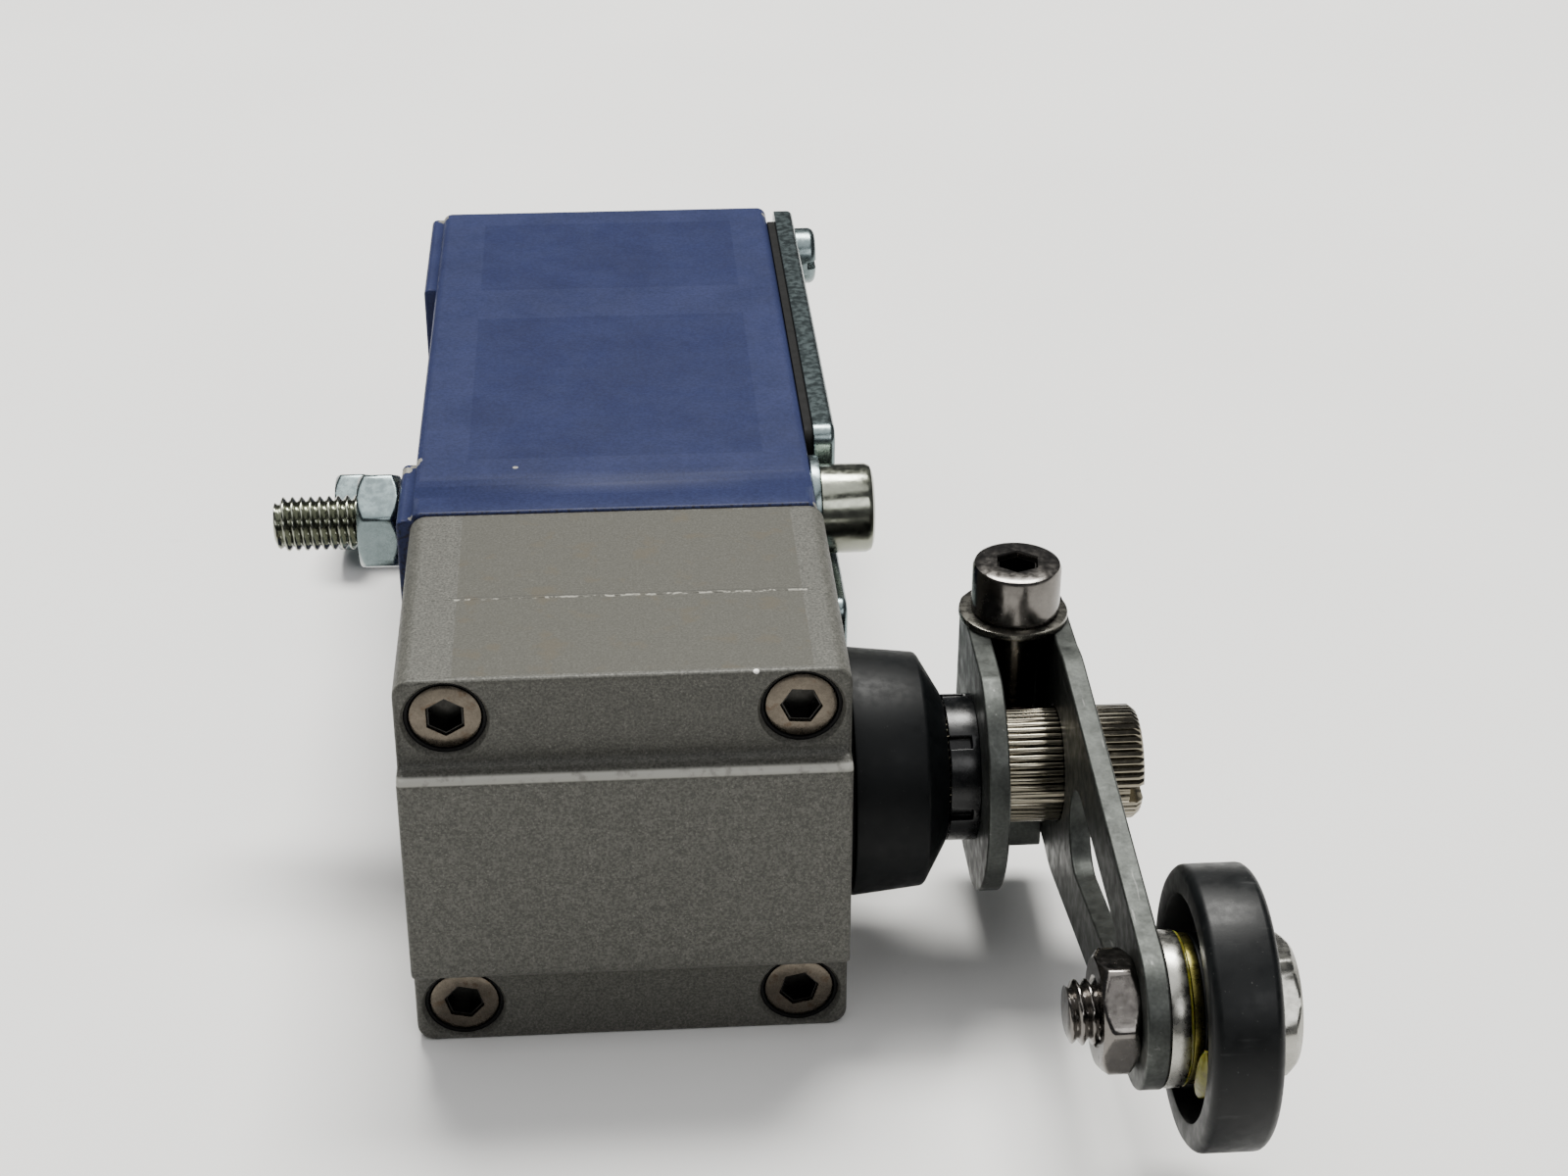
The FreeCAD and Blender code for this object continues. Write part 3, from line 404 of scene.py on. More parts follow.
PAINTS = {
    "silver_paint": silver_paint(),
    "blue_paint": blue_paint(),
    "zinc_plate": plated("zinc_plate", (0.16, 0.2, 0.205), 0.27, 0.08, None, 0.0008, 0.1),
    "bolt_steel": plated("bolt_steel", (0.24, 0.25, 0.205), 0.2, 0.05, None, 0.0006, 0.15),
    "dark_steel": plated("dark_steel", (0.15, 0.14, 0.13), 0.22, 0.08, None, 0.0006, 0.15),
    "screw_steel": plated("screw_steel", (0.105, 0.09, 0.072), 0.27, 0.15, (0.07, 0.048, 0.032)),
    # Near-black steel for the socket linings: painted shade inside the screw sockets.
    "socket_painted_shade": plated("socket_painted_shade", (0.03, 0.029, 0.027), 0.35, 0.2),
    "lever_steel": lever_steel(),
    "shaft_steel": plated("shaft_steel", (0.2, 0.182, 0.14), 0.18, 0.0, None, 0.0001, 0.0),
    "spring_steel": plated("spring_steel", (0.42, 0.42, 0.41), 0.25),
    "washer_steel": plated("washer_steel", (0.14, 0.135, 0.118), 0.28, 0.08, None, 0.0006, 0.0),
    "bright_alloy": plated("bright_alloy", (0.33, 0.325, 0.295), 0.28, 0.04, None, 0.0006, 0.0),
    "rubber": moulded("rubber", (0.0016, 0.0022, 0.0026), 0.5, 0.003, 0.05, 0.0, 0.13),
    "gasket": moulded("gasket", (0.003, 0.003, 0.003), 0.7, 0.01, 0.0, 0.0, 0.15),
    "ring_plastic": moulded("ring_plastic", (0.0018, 0.0022, 0.0026), 0.25, 0.0005, 0.0, 0.0, 0.3),
    "roller_plastic": moulded("roller_plastic", (0.0026, 0.0033, 0.0037), 0.42, 0.004, 0.2, 0.4, 0.2),
    "block_plastic": moulded("block_plastic", (0.02, 0.02, 0.022), 0.45),
    "pusher_plastic": moulded("pusher_plastic", (0.62, 0.6, 0.54), 0.38),
    "brass": plated("brass", (0.66, 0.48, 0.2), 0.28),
    "greased_brass": plated("greased_brass", (0.14, 0.125, 0.035), 0.3, 0.3, (0.1, 0.095, 0.012)),
    "old_backing": old_backing(),
    "grease": grease(),
}


# ---------------------------------------------------------------- mesh helpers

def new_object(name, data):
    """An object for a mesh, light or camera, linked to the scene."""
    item = bpy.data.objects.new(name, data)
    bpy.context.scene.collection.objects.link(item)
    return item


def new_piece(name, mesh, paint, body, replaces=()):
    """Puts a finished mesh in the scene, riding on a CAD body."""
    piece = new_object(name, mesh)
    mesh.materials.clear()
    mesh.materials.append(PAINTS[paint])
    smooth(mesh)
    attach(piece, body)
    if replaces:
        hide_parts(*replaces)
    return piece


def smooth(mesh):
    """Smooth faces, with sharp edges left where the surface really turns."""
    for face in mesh.polygons:
        face.use_smooth = True
    mesh.set_sharp_from_angle(angle=SHARP_ANGLE)


def evaluated_mesh(piece):
    """A new mesh with the piece's modifiers applied."""
    bpy.context.view_layer.update()
    graph = bpy.context.evaluated_depsgraph_get()
    return bpy.data.meshes.new_from_object(piece.evaluated_get(graph))


def remove(piece):
    mesh = piece.data
    bpy.data.objects.remove(piece)
    bpy.data.meshes.remove(mesh)


def solid(mesh):
    """A working object for a closed mesh, before it becomes a piece."""
    return new_object("work", mesh)


def flat_faces_kept(holder):
    """The holder's mesh, with normals that keep large flat faces flat beside rounded edges."""
    smooth(holder.data)
    change = holder.modifiers.new("normals", "WEIGHTED_NORMAL")
    change.keep_sharp = True
    change.weight = 100
    mesh = evaluated_mesh(holder)
    remove(holder)
    return mesh


def cleaned_copy(node):
    """The CAD node's mesh with shared corners joined and flat faces merged."""
    source = frame["nodes"][node].data
    mesh = bpy.data.meshes.new(node + "_base")
    mesh.from_pydata([v.co[:] for v in source.vertices], [], [p.vertices[:] for p in source.polygons])
    edit = bmesh.new()
    edit.from_mesh(mesh)
    bmesh.ops.remove_doubles(edit, verts=edit.verts, dist=JOIN_DISTANCE)
    bmesh.ops.dissolve_limit(edit, angle_limit=FLAT_ANGLE, verts=edit.verts, edges=edit.edges)
    edit.to_mesh(mesh)
    edit.free()
    return mesh


def rounded_copy(node, name, paint, body, bevel, segments=2):
    """A CAD node with its sharp edges rounded off, which stands for that node."""
    base = solid(cleaned_copy(node))
    rounding = base.modifiers.new("rounding", "BEVEL")
    rounding.width = bevel * MM
    rounding.segments = segments
    rounding.limit_method = "ANGLE"
    rounding.angle_limit = ROUNDING_ANGLE
    rounding.use_clamp_overlap = False
    rounding.harden_normals = False
    mesh = evaluated_mesh(base)
    remove(base)
    return new_piece(name, flat_faces_kept(solid(mesh)), paint, body, [node])


def circle(radius):
    return lambda angle: radius


def hexagon(half_flats, corner, turn_deg):
    """Hexagon outline, cut back to a corner radius where one is given."""
    def radius(angle):
        local = (angle - math.radians(turn_deg)) % math.radians(60) - math.radians(30)
        flat = half_flats / math.cos(local)
        return min(flat, corner) if corner else flat
    return radius


def skin(edit, loops, closed=False):
    """Faces between neighbouring loops of vertices, and from the last to the first where closed."""
    pairs = list(zip(loops, loops[1:]))
    if closed:
        pairs.append((loops[-1], loops[0]))
    for near, far in pairs:
        for i in range(len(near)):
            j = (i + 1) % len(near)
            edit.faces.new((near[i], near[j], far[j], far[i]))


def turned_mesh(name, rings, start, direction, closed=False, steps=RING_STEPS):
    """Lathe-like mesh: a ring is a distance along the axis and an outline giving radius by angle."""
    axis = Vector(direction).normalized()
    turn = Vector((0, 0, 1)).rotation_difference(axis).to_matrix()
    edit = bmesh.new()
    loops = []
    for distance, outline in rings:
        loop = []
        for i in range(steps):
            angle = 2 * math.pi * i / steps
            r = outline(angle)
            local = Vector((r * math.cos(angle), r * math.sin(angle), distance))
            loop.append(edit.verts.new((Vector(start) + turn @ local) * MM))
        loops.append(loop)
    skin(edit, loops, closed)
    if not closed:
        edit.faces.new(list(reversed(loops[0])))
        edit.faces.new(loops[-1])
    return closed_mesh(edit, name)


def closed_mesh(edit, name):
    """Ends an edit: faces turned outwards, stored as a mesh."""
    bmesh.ops.recalc_face_normals(edit, faces=edit.faces)
    mesh = bpy.data.meshes.new(name)
    edit.to_mesh(mesh)
    edit.free()
    return mesh


def turned(name, rings, start, direction, paint, body, slot=None, replaces=(), closed=False,
           steps=RING_STEPS):
    mesh = turned_mesh(name, rings, start, direction, closed, steps)
    return new_piece(name, mesh, paint, body, replaces)


def eased(points, radius):
    """Closed outline with each corner replaced by a small three-point curve."""
    result = []
    for i, point in enumerate(points):
        before, after = Vector(points[i - 1]), Vector(points[(i + 1) % len(points)])
        corner = Vector(point)
        reach_in = min(radius, 0.4 * (corner - before).length)
        reach_out = min(radius, 0.4 * (after - corner).length)
        a = corner + (before - corner).normalized() * reach_in
        b = corner + (after - corner).normalized() * reach_out
        middle = a * 0.25 + corner * 0.5 + b * 0.25
        result += [a[:], middle[:], b[:]]
    return result


def ring_piece(name, points, start, direction, paint, body, slot=None, replaces=(), *, ease):
    """Closed ring with eased corners, from a profile of distance and radius."""
    rings = [(distance, circle(radius)) for distance, radius in eased(points, ease)]
    return turned(name, rings, start, direction, paint, body, slot, replaces, closed=True)


def thread_rings(low, high, radius, pitch, tip=0.8):
    """Rings of a helical thread that tapers off over its last turn."""
    depth = 0.6 * pitch
    count = int((high - low) / (pitch / 10))
    rings = []
    for i in range(count + 1):
        distance = low + (high - low) * i / count
        crest = radius - max(0.0, distance - (high - tip)) * 0.75

        def outline(angle, distance=distance, crest=crest):
            phase = (distance / pitch - angle / (2 * math.pi)) % 1.0
            groove = depth * (1 - min(1.0, abs(phase - 0.5) / 0.42))
            return crest - groove * min(1.0, (distance - low) / pitch + 0.15)
        rings.append((distance, outline))
    return rings


def cap_screw_rings(head_radius, head_length, socket, socket_depth, shank_radius, shank_length,
                    thread_length, pitch, rim, turn_deg=0.0):
    """Rings of a socket head cap screw, from the socket's floor to the shank's end."""
    half = socket / 2
    start = -head_length
    wall = hexagon(half, None, turn_deg)
    mouth = hexagon(half + 0.12, half * 1.13 + 0.25, turn_deg)
    rings = [(start + socket_depth + half * 0.35, circle(0.05)), (start + socket_depth, wall),
             (start + 0.25, wall), (start, mouth), (start, circle(head_radius - rim)),
             (start + rim * 0.3, circle(head_radius - rim * 0.3)),
             (start + rim, circle(head_radius)), (-0.2, circle(head_radius)),
             (0.0, circle(head_radius - 0.2)), (0.0, circle(shank_radius + 0.2)),
             (0.2, circle(shank_radius))]
    plain_end = shank_length - thread_length
    if plain_end > 0.5:
        rings.append((plain_end, circle(shank_radius)))
    return rings + thread_rings(max(plain_end, 0.3), shank_length, shank_radius, pitch)


def nut_rings(half_flats, height, bore, turn_deg):
    """Closed profile of a hexagon nut, chamfered at both faces."""
    face = half_flats * 0.97
    chamfer = [(step, hexagon(half_flats, face + 1.2 * step, turn_deg))
               for step in (0.0, 0.12, 0.25, 0.4, 0.6, 0.8)]
    rings = [(0.0, circle(bore + 0.35)), (0.0, circle(face))] + chamfer
    rings += [(height - step, outline) for step, outline in reversed(chamfer)]
    rings += [(height, circle(face)), (height, circle(bore + 0.35)), (height - 0.35, circle(bore)),
              (0.35, circle(bore))]
    return rings


def socket_shade_lining(name, half, top, depth, start, direction, turn_deg, body, slot, node):
    """Dark lining of a hexagon socket, painted shade in the recess; top and depth are distances along
    the screw's axis.
    """
    inner = hexagon(half - 0.12, None, turn_deg)
    outer = hexagon(half - 0.02, None, turn_deg)
    rings = [(depth - 0.08, circle(0.05)), (depth - 0.08, inner), (top, inner), (top, outer),
             (depth - 0.01, outer), (depth - 0.01, circle(0.05))]
    turned(name, rings, start, direction, "socket_painted_shade", body, slot, [node])


# ---------------------------------------------------------------- solid shapes cut from each other

def combine(target, tool, operation):
    """Adds or cuts the tool solid, which is then removed."""
    change = target.modifiers.new("change", "BOOLEAN")
    change.operation = operation
    change.solver = "EXACT"
    change.object = tool
    mesh = evaluated_mesh(target)
    target.modifiers.clear()
    old = target.data
    target.data = mesh
    bpy.data.meshes.remove(old)
    remove(tool)


def eased_box(low, high, along, radius, ease):
    """Box with a large radius on the edges along one axis and a small one on the rest."""
    edit = bmesh.new()
    centre = (Vector(low) + Vector(high)) / 2 * MM
    size = (Vector(high) - Vector(low)) * MM
    placing = Matrix.Translation(centre) @ Matrix.Diagonal((*size, 1))
    bmesh.ops.create_cube(edit, size=1.0, matrix=placing)
    long_edges = [e for e in edit.edges
                  if abs((e.verts[0].co - e.verts[1].co)[along]) > 0.5 * size[along]]
    bmesh.ops.bevel(edit, geom=long_edges, offset=radius * MM, segments=6, profile=0.5, affect="EDGES")
    sharp = [e for e in edit.edges if e.calc_face_angle(0) > BOX_EDGE_ANGLE]
    bmesh.ops.bevel(edit, geom=sharp, offset=ease * MM, segments=3, profile=0.5, affect="EDGES")
    return solid(closed_mesh(edit, "box"))


def plain_rod(radius, start, direction, length):
    rings = [(0, circle(radius)), (length, circle(radius))]
    return solid(turned_mesh("rod", rings, start, direction, steps=ROD_STEPS))


def prism_x(outline, low_x, high_x):
    """Outline of (y, z) points, extruded along X."""
    edit = bmesh.new()
    ends = [[edit.verts.new(Vector((x, y, z)) * MM) for y, z in outline] for x in (low_x, high_x)]
    edit.faces.new(ends[0])
    edit.faces.new(list(reversed(ends[1])))
    for i in range(len(outline)):
        j = (i + 1) % len(outline)
        edit.faces.new((ends[0][i], ends[1][i], ends[1][j], ends[0][j]))
    return solid(closed_mesh(edit, "prism"))


def finish_solid(holder, name, paint, body, replaces):
    return new_piece(name, flat_faces_kept(holder), paint, body, replaces=replaces)


# ---------------------------------------------------------------- body and head

def body_shell():
    """Painted housing with two mounting pads, grooves, the wiring space and a threaded cable entry."""
    front, end = BODY_Y
    shell = eased_box((1.5, front, -HALF_HEIGHT), (44.9, end, HALF_HEIGHT), 1, 1.2, 0.35)
    for low_y, high_y in ((front, -27.5), (21.7, end)):
        combine(shell, eased_box((0.0, low_y, -20.7), (3.0, high_y, 20.7), 1, 0.7, 0.3), "UNION")
    hollow = ((-31.5, -17.5), (21.5, -17.5), (21.5, -6.7), (36.0, -6.7), (36.0, 17.5),
              (-21.5, 17.5), (-21.5, 6.7), (-31.5, 6.7))
    combine(shell, prism_x(hollow, 5.5, 46.0), "DIFFERENCE")
    bosses = ((4.5, -33.3, -16.9, 44.9), (3.4, -17.5, -10.8, 7.5), (3.4, 17.5, 10.8, 7.5),
              (4.5, 28.5, 11.0, 12.0))
    for radius, y, z, end_x in bosses:
        combine(shell, plain_rod(radius, (4.0, y, z), (1, 0, 0), end_x - 4.0), "UNION")
    for side in (-1, 1):
        outline = [(y, side * (HALF_HEIGHT - depth)) for y, depth in COVE]
        combine(shell, prism_x(outline, -2.0, 48.0), "DIFFERENCE")
    for y, z in BOLT_SPOTS:
        combine(shell, plain_rod(3.25, (-2.0, y, z), (1, 0, 0), 50.0), "DIFFERENCE")
    screw_holes = ((39.7, 16.9, 33.9), (-33.3, -16.9, 33.9), (-17.5, -10.8, 2.8),
                   (17.5, 10.8, 2.8), (28.5, 11.0, 4.0))
    for y, z, low_x in screw_holes:
        combine(shell, plain_rod(M4_CORE, (low_x, y, z), (1, 0, 0), 46.0 - low_x), "DIFFERENCE")
    for x, z in HEAD_SCREW_SPOTS:
        combine(shell, plain_rod(M4_CORE, (x, -42.0, z), (0, 1, 0), 5.4), "DIFFERENCE")
    combine(shell, plain_rod(5.5, (SHAFT[0], -42.0, 0), (0, 1, 0), 12.0), "DIFFERENCE")
    thread = thread_rings(-11.9, 0.4, 10.0, 1.5, tip=0.01)
    entry = [(-12.0, circle(9.25))] + thread + [(2.0, circle(10.2))]
    entry_mesh = turned_mesh("entry", entry, (SHAFT[0], end, 0), (0, 1, 0))
    combine(shell, solid(entry_mesh), "DIFFERENCE")
    finish_solid(shell, "body_shell", "blue_paint", "body", ["body_housing"])


def head_shell():
    """Cast head: rounded block, raised pad, four counterbores, and the cam's chamber."""
    low_x, high_x = HEAD_TOP_X
    front, back = HEAD_Y
    shell = eased_box((low_x, front, -HALF_HEIGHT), (high_x, back, HALF_HEIGHT), 1, 1.8, 0.45)
    combine(shell, eased_box((low_x, PAD_Y, -12.15), (high_x, -70.0, 12.15), 0, 1.2, 0.4), "UNION")
    mouth = [(0.0, circle(4.5)), (1.95, circle(4.5)), (2.6, circle(4.3)), (2.95, circle(4.02)),
             (7.2, circle(4.0))]
    for x, z in HEAD_SCREW_SPOTS:
        bore = solid(turned_mesh("bore", mouth, (x, PAD_Y, z), (0, 1, 0), steps=ROD_STEPS))
        combine(shell, bore, "DIFFERENCE")
        combine(shell, plain_rod(2.2, (x, -72.0, z), (0, 1, 0), 40.0), "DIFFERENCE")
    combine(shell, plain_rod(13.0, (8.0, SHAFT[1], 0), (1, 0, 0), 40.0), "DIFFERENCE")
    combine(shell, plain_rod(5.5, (4.0, SHAFT[1], 0), (1, 0, 0), 8.0), "DIFFERENCE")
    combine(shell, plain_rod(5.05, (SHAFT[0], SHAFT[1] + 8, 0), (0, 1, 0), 20.0), "DIFFERENCE")
    combine(shell, plain_rod(7.0, (SHAFT[0], -43.5, 0), (0, 1, 0), 5.0), "DIFFERENCE")
    finish_solid(shell, "head_shell", "silver_paint", "body", ["head_casing"])


def casings():
    """The two castings, the cover plate and the gaskets."""
    body_shell()
    head_shell()
    rounded_copy("cover_plate", "cover_lid", "zinc_plate", "body", 0.12)
    rounded_copy("cover_gasket", "cover_seal", "gasket", "body", 0.12)
    rounded_copy("head_gasket", "head_seal", "gasket", "body", 0.05)


def parting_line():
    """Fine raised seam left by the casting mould, across the head's top."""
    low_x, high_x = HEAD_TOP_X[0] + 1.8, HEAD_TOP_X[1] - 1.8
    steps = 120
    edit = bmesh.new()
    rows = []
    for i in range(steps + 1):
        x = low_x + (high_x - low_x) * i / steps
        wander = 0.12 * noise.noise(Vector((x * 0.4, 1.0, 0)))
        height = 0.02 + 0.07 * noise.noise(Vector((x * 1.3, 4.0, 1.0)))
        y = -59.7 + wander
        section = ((y - 0.2, -0.1), (y - 0.07, height), (y + 0.07, height), (y + 0.2, -0.1))
        rows.append([edit.verts.new(Vector((x, py, HALF_HEIGHT + pz)) * MM) for py, pz in section])
    skin(edit, rows)
    edit.faces.new(rows[0])
    edit.faces.new(list(reversed(rows[-1])))
    new_piece("head_seam_top", closed_mesh(edit, "head_seam_top"), "silver_paint", "body")


def fasteners():
    """Fixing bolts with their washers and nuts, head screws and cover screws."""
    seat_x, washer_thick = 45.9, 1.0
    washer = ((0, 3.2), (0, 6.0), (washer_thick, 6.0), (washer_thick, 3.2))
    for label, (y, z), nut_x in zip(("near", "far"), BOLT_SPOTS, (-0.3, -9.6)):
        rings = cap_screw_rings(5.0, 6.0, 5.0, 3.4, 3.0, 60.0, 24.0, 1.0, rim=0.8)
        turned("fixing_bolt_" + label, rings, (seat_x, y, z), (-1, 0, 0), "bolt_steel", "body",
               "zinc_plate", ["mounting_bolts"])
        ring_piece("fixing_washer_" + label, washer, (seat_x - washer_thick, y, z), (1, 0, 0),
                   "zinc_plate", "body", replaces=["mounting_washers"], ease=0.12)
        turned("fixing_nut_" + label, nut_rings(5.0, 4.5, 2.95, 0.0), (nut_x, y, z), (-1, 0, 0),
               "zinc_plate", "body", replaces=["mounting_nuts"], closed=True)
    lining = ((-3.9, 3.64), (-3.9, 3.99), (-0.02, 3.99), (-0.02, 3.64))
    for i, (x, z) in enumerate(HEAD_SCREW_SPOTS, 1):
        seat, turn_deg = (x, -70.7, z), 17 * i - 4
        rings = cap_screw_rings(3.6, 4.0, 3.4, 2.3, 1.65, 33.0, 20.0, 0.7, 0.5, turn_deg)
        # Dark lining inside each head screw's socket: painted shade.
        socket_shade_lining(f"head_screw_socket_shade_{i}", 1.7, -3.7, -1.7, seat, (0, 1, 0), turn_deg,
                     "body", "dark_steel", "head_screws")
        turned(f"head_screw_{i}", rings, seat, (0, 1, 0), "screw_steel", "body", "dark_steel",
               ["head_screws"])
        ring_piece(f"counterbore_shadow_{i}", lining, seat, (0, 1, 0), "gasket", "body", "rubber",
                   ease=0.05)
    rounded_copy("cover_screws", "cover_screw_pair", "zinc_plate", "body", 0.08)


def backing():
    """Ragged remains of a label's backing on the head's rear face."""
    low, high = low_high("back_patch")
    across, up = 60, 36
    edit = bmesh.new()
    grid = []
    for side in (0, 1):
        rows = []
        for i in range(across + 1):
            row = []
            for j in range(up + 1):
                u, v = i / across, j / up
                y = low.y + (high.y - low.y) * u
                z = low.z + (high.z - low.z) * v
                edge = min(u, 1 - u, v, 1 - v)
                tear = noise.noise(Vector((y * 0.9, z * 0.9, 2.0)))
                pull = 0.6 * max(0.0, 1 - edge * 9) * (0.5 + tear)
                y += pull * (0.5 - u) * 2
                z += pull * (0.5 - v) * 2
                relief = 0.16 + 0.22 * abs(noise.noise(Vector((y * 0.7, z * 0.7, 7.0))))
                relief = min(relief * min(1.0, edge * 14 + 0.15), 0.39)
                x = high.x - (relief if side else -0.02)
                row.append(edit.verts.new(Vector((x, y, z)) * MM))
            rows.append(row)
        grid.append(rows)
    for rows in grid:
        for i in range(across):
            for j in range(up):
                edit.faces.new((rows[i][j], rows[i + 1][j], rows[i + 1][j + 1], rows[i][j + 1]))
    border = [(i, 0) for i in range(across)] + [(across, j) for j in range(up)]
    border += [(i, up) for i in range(across, 0, -1)] + [(0, j) for j in range(up, 0, -1)]
    for (a, b), (c, d) in zip(border, border[1:] + border[:1]):
        edit.faces.new((grid[0][a][b], grid[0][c][d], grid[1][c][d], grid[1][a][b]))
    mesh = closed_mesh(edit, "label_backing")
    new_piece("label_backing", mesh, "old_backing", "body", replaces=["back_patch"])


# ---------------------------------------------------------------- shaft end

def boot_piece():
    """Rubber boot round the shaft, with a lip at its foot and an open inside."""
    low, high = low_high("boot")
    foot, tip = low.x, high.x
    profile = ((foot, 9.0), (foot, 13.1), (foot + 0.2, 13.1), (foot + 0.2, 12.1), (foot + 0.8, 12.1),
               (foot + 0.9, 13.0), (53.9, 12.2), (tip, 7.9), (tip, 6.3), (50.5, 6.3), (50.5, 9.0))
    ring_piece("boot_cover", profile, (0, SHAFT[1], SHAFT[2]), (1, 0, 0), "rubber", "body",
               replaces=["boot"], ease=0.3)


def shaft_piece():
    """Shaft with a fine knurl over its outer end, a driver slot and its pin hole."""
    teeth, depth = 46, 0.3

    def knurl(radius):
        def outline(angle):
            phase = (angle * teeth / (2 * math.pi)) % 1.0
            return radius - depth * max(0.0, abs(phase * 2 - 1) - 0.45) / 0.55
        return outline

    end = low_high("shaft")[1].x
    rings = [(4.5, circle(3.7)), (4.8, circle(4.0)), (11.0, circle(4.0)), (11.0, circle(6.0)),
             (31.0, circle(6.0)), (31.0, circle(5.4)), (32.0, circle(5.4)), (32.0, circle(6.0)),
             (56.9, circle(5.83)), (57.2, knurl(6.0)), (end - 0.75, knurl(6.0)),
             (end - 0.1, knurl(5.5)), (end, circle(5.2))]
    piece = turned("knurled_shaft", rings, (0, SHAFT[1], SHAFT[2]), (1, 0, 0), "shaft_steel", "lever",
                   replaces=["shaft"], steps=teeth * 8)
    slot_turn = Matrix.Rotation(math.radians(5), 4, "X")
    slot = eased_box((end - 1.6, -8.0, -0.85), (end + 2.0, 8.0, 0.85), 0, 0.1, 0.05)
    slot.data.transform(Matrix.Translation(Vector((0, SHAFT[1], 0)) * MM) @ slot_turn)
    combine(piece, slot, "DIFFERENCE")
    combine(piece, plain_rod(1.5, (15.0, SHAFT[1] - 9, 0), (0, 1, 0), 18.0), "DIFFERENCE")
    smooth(piece.data)


def lever_pieces():
    """Lever arm, index ring and the clamp that holds the arm on the shaft."""
    rounded_copy("lever_arm", "lever_plate", "lever_steel", "lever", 0.25, segments=3)
    rounded_copy("index_ring", "index_collar", "ring_plastic", "lever", 0.12)
    rounded_copy("clamp_nut", "clamp_square_nut", "lever_steel", "lever", 0.15)
    low, high = low_high("clamp_screw")
    x, y = (low.x + high.x) / 2, (low.y + high.y) / 2
    washer_low = low_high("clamp_washer")[0].z
    thick = 0.8
    washer = ((0, 2.6), (0, 5.75), (thick, 5.75), (thick, 2.6))
    ring_piece("clamp_washer_ring", washer, (x - 0.35, y, washer_low), (0, 0, 1), "washer_steel",
               "lever", "zinc_plate", ["clamp_washer"], ease=0.2)
    seat = (x - 0.15, y, washer_low + thick)
    rings = cap_screw_rings(4.65, 5.6, 4.0, 3.0, 2.5, 26.8, 12.0, 0.8, rim=0.6, turn_deg=8)
    turned("clamp_cap_screw", rings, seat, (0, 0, -1), "dark_steel", "lever",
           replaces=["clamp_screw"])
    # Dark lining inside the clamp screw's socket: painted shade.
    socket_shade_lining("clamp_screw_socket_shade", 2.0, -4.9, -2.6, seat, (0, 0, -1), 8, "lever", "dark_steel",
                 "clamp_screw")


# ---------------------------------------------------------------- roller

def roller_pieces():
    """Roller with its bush, and the bolt, spacer and nut it turns on; distances are X."""
    y, z = AXLE[1], AXLE[2]
    axis = ((0, y, z), (1, 0, 0))
    wheel = ((73.1, 12.4), (73.1, 10.3), (76.5, 10.3), (76.5, 6.8), (73.7, 6.8), (73.7, 5.0),
             (80.0, 5.0), (80.0, 6.8), (79.5, 6.8), (79.5, 12.4), (78.9, 13.0), (73.7, 13.0))
    ring_piece("roller_wheel", wheel, *axis, "roller_plastic", "roller", replaces=["roller"], ease=0.3)
    bush = ((72.8, 4.05), (72.8, 6.8), (73.7, 6.8), (73.7, 5.0), (80.0, 5.0), (80.0, 4.05))
    ring_piece("roller_bushing", bush, *axis, "greased_brass", "roller", replaces=["roller_bush"],
               ease=0.08)
    spacer = ((70.7, 3.0), (70.7, 7.1), (72.5, 7.1), (72.5, 3.0))
    ring_piece("axle_spacer_ring", spacer, *axis, "bright_alloy", "lever", "zinc_plate",
               ["axle_spacer"], ease=0.25)
    turned("axle_hex_nut", nut_rings(5.0, 3.4, 2.95, 14.0), (65.1, y, z), (1, 0, 0), "dark_steel",
           "lever", replaces=["axle_nut"], closed=True)
    half, seat, turn_deg = 6.0, 80.3, 20
    outer = seat + 2.5
    head = [(outer, circle(0.05)), (outer, circle(half * 0.9))]
    for step in (0.0, 0.15, 0.3, 0.5, 0.75):
        head.append((outer - step, hexagon(half, half * 0.95 + step, turn_deg)))
    head += [(seat, hexagon(half, 6.7, turn_deg)), (seat, circle(4.2)), (80.1, circle(4.0)),
             (72.5, circle(4.0)), (72.5, circle(3.0)), (66.0, circle(3.0))]
    thread = thread_rings(0.0, 4.0, 3.0, 1.0, 0.7)
    turned("axle_thread_end", [(-0.5, circle(2.6))] + thread, (66.4, y, z), (-1, 0, 0),
           "dark_steel", "lever", replaces=["axle_bolt"])
    turned("roller_axle", head, *axis, "bright_alloy", "lever", "zinc_plate", ["axle_bolt"])
    grease_smears(y, z)


def grease_smears(y, z):
    """Yellow grease squeezed out round the spacer and in the bottom of the roller's recess."""
    steps, around = 90, 14
    smears = (("ring", 72.6, 6.85, 0.26, 0, 360, 0.5), ("low", 73.4, 8.6, 2.0, 168, 206, 0.4))
    for label, x, radius, thick, start, end, rough in smears:
        full = end - start >= 360
        edit = bmesh.new()
        loops = []
        for i in range(steps if full else steps + 1):
            share = i / steps
            angle = math.radians(start + (end - start) * share)
            taper = 1.0 if full else max(0.08, math.sin(math.pi * share)) ** 0.6
            loop = []
            for k in range(around):
                spin = 2 * math.pi * k / around
                lump = noise.noise(Vector((math.cos(angle) * 3, math.sin(angle) * 3, k * 0.4 + x)))
                size = thick * taper * (1 + rough * lump) * 0.5
                r = radius + size * math.cos(spin)
                place = Vector((x + size * 0.8 * math.sin(spin), y + r * math.cos(angle),
                                z + r * math.sin(angle)))
                loop.append(edit.verts.new(place * MM))
            loops.append(loop)
        skin(edit, loops, full)
        if not full:
            edit.faces.new(loops[0])
            edit.faces.new(list(reversed(loops[-1])))
        mesh = closed_mesh(edit, "grease_" + label)
        new_piece("grease_" + label, mesh, "grease", "lever")


# ---------------------------------------------------------------- inside

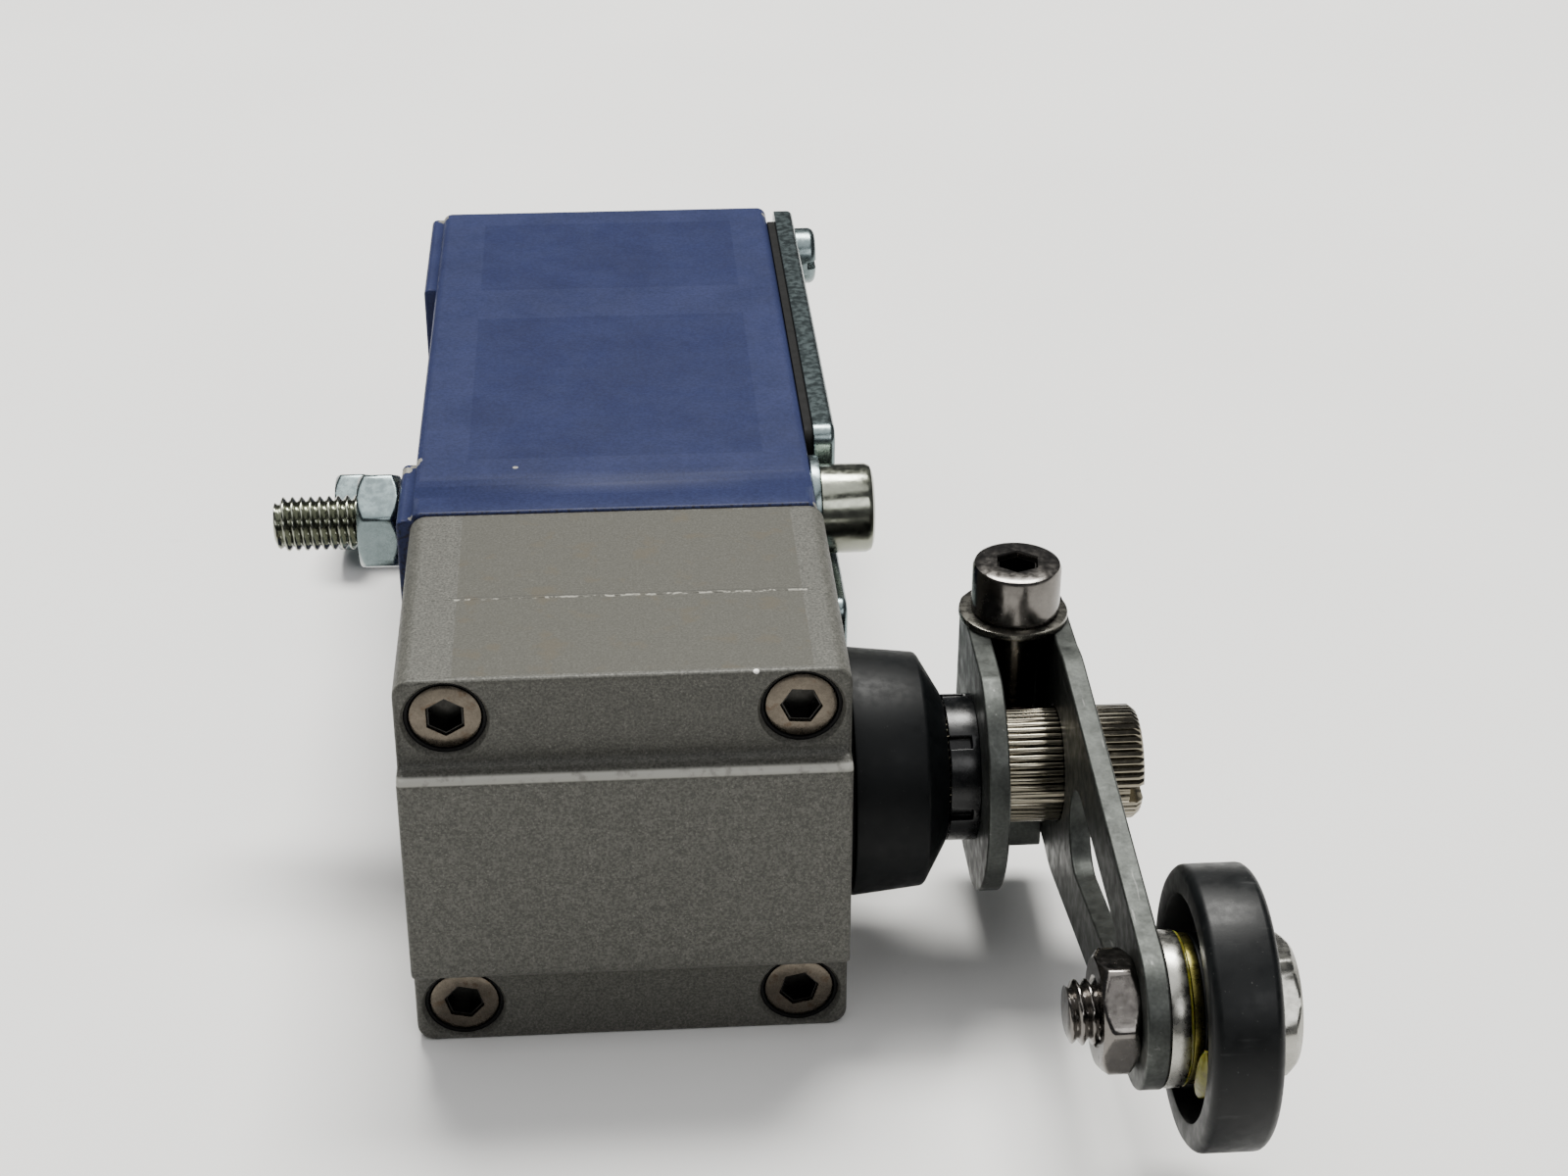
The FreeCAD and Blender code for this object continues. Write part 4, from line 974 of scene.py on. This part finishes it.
def paint_inner_nodes():
    """Hidden CAD nodes keep their shape and get their real material."""
    hidden = {
        "brass": ("bearing_bush", "rear_bush", "contact_bridge", "fixed_contacts", "earth_washer"),
        "rubber": ("shaft_seal", "pusher_seal"),
        "spring_steel": ("return_spring", "drive_pin", "circlip", "cam", "contact_spring"),
        "pusher_plastic": ("pusher", "contact_plunger", "block_cover"),
        "zinc_plate": ("terminal_clamps", "terminal_screws", "block_screws", "earth_screw"),
        "block_plastic": ("contact_block",),
    }
    for paint, nodes in hidden.items():
        for node in nodes:
            materials = frame["nodes"][node].data.materials
            if not materials:
                materials.append(PAINTS[paint])
            for i in range(len(materials)):
                materials[i] = PAINTS[paint]


# ---------------------------------------------------------------- stage

def make_camera():
    """The photo's camera, as fitted to the object's edges in the photo."""
    yaw, pitch, roll = math.radians(4.209), math.radians(29.342), math.radians(0.294)
    ahead = Vector((math.sin(yaw) * math.cos(pitch), math.cos(yaw) * math.cos(pitch),
                    -math.sin(pitch)))
    level = Vector((math.cos(yaw), -math.sin(yaw), 0))
    above = level.cross(ahead)
    right = level * math.cos(roll) + above * math.sin(roll)
    up = above * math.cos(roll) - level * math.sin(roll)
    data = bpy.data.cameras.new("camera")
    data.sensor_width = 36.0
    data.lens = 60.4
    data.clip_start = 0.01
    camera = new_object("camera", data)
    place = Matrix.Translation(Vector((23.03, -289.59, 151.29)) * MM)
    camera.matrix_world = place @ Matrix((right, up, -ahead)).transposed().to_4x4()
    bpy.context.scene.camera = camera


def make_floor():
    mesh = bpy.data.meshes.new("floor")
    half, low = 3.0, -HALF_HEIGHT * MM
    corners = [(-half, -half, low), (half, -half, low), (half, half, low), (-half, half, low)]
    mesh.from_pydata(corners, [], [(0, 1, 2, 3)])
    mesh.materials.append(floor_paper())
    new_object("floor", mesh)


def area_light(name, place, target, size, power, colour=(1, 1, 1)):
    """Rectangular lamp aimed at a target; place and size are metres and power is watts."""
    data = bpy.data.lights.new(name, "AREA")
    data.shape = "RECTANGLE"
    data.size, data.size_y = size
    data.energy = power
    data.color = colour
    light = new_object(name, data)
    light.location = place
    light.rotation_euler = (Vector(target) - Vector(place)).to_track_quat("-Z", "Y").to_euler()


def make_light():
    world = bpy.data.worlds.new("studio")
    world.use_nodes = True
    background = world.node_tree.nodes["Background"]
    background.inputs["Color"].default_value = (0.93, 0.95, 1.0, 1.0)
    background.inputs["Strength"].default_value = 0.1
    bpy.context.scene.world = world
    target = (0.03, -0.02, 0.0)
    area_light("key", (0.12, 0.55, 1.25), target, (0.8, 0.4), 42.0, (1.0, 0.99, 0.95))
    area_light("top", (-0.1, -0.1, 1.2), target, (1.3, 1.3), 9.0)
    area_light("front", (0.5, -1.1, 0.9), target, (0.8, 0.5), 5.5)


casings()
parting_line()
fasteners()
backing()
boot_piece()
shaft_piece()
lever_pieces()
roller_pieces()
paint_inner_nodes()
make_floor()
make_light()
make_camera()
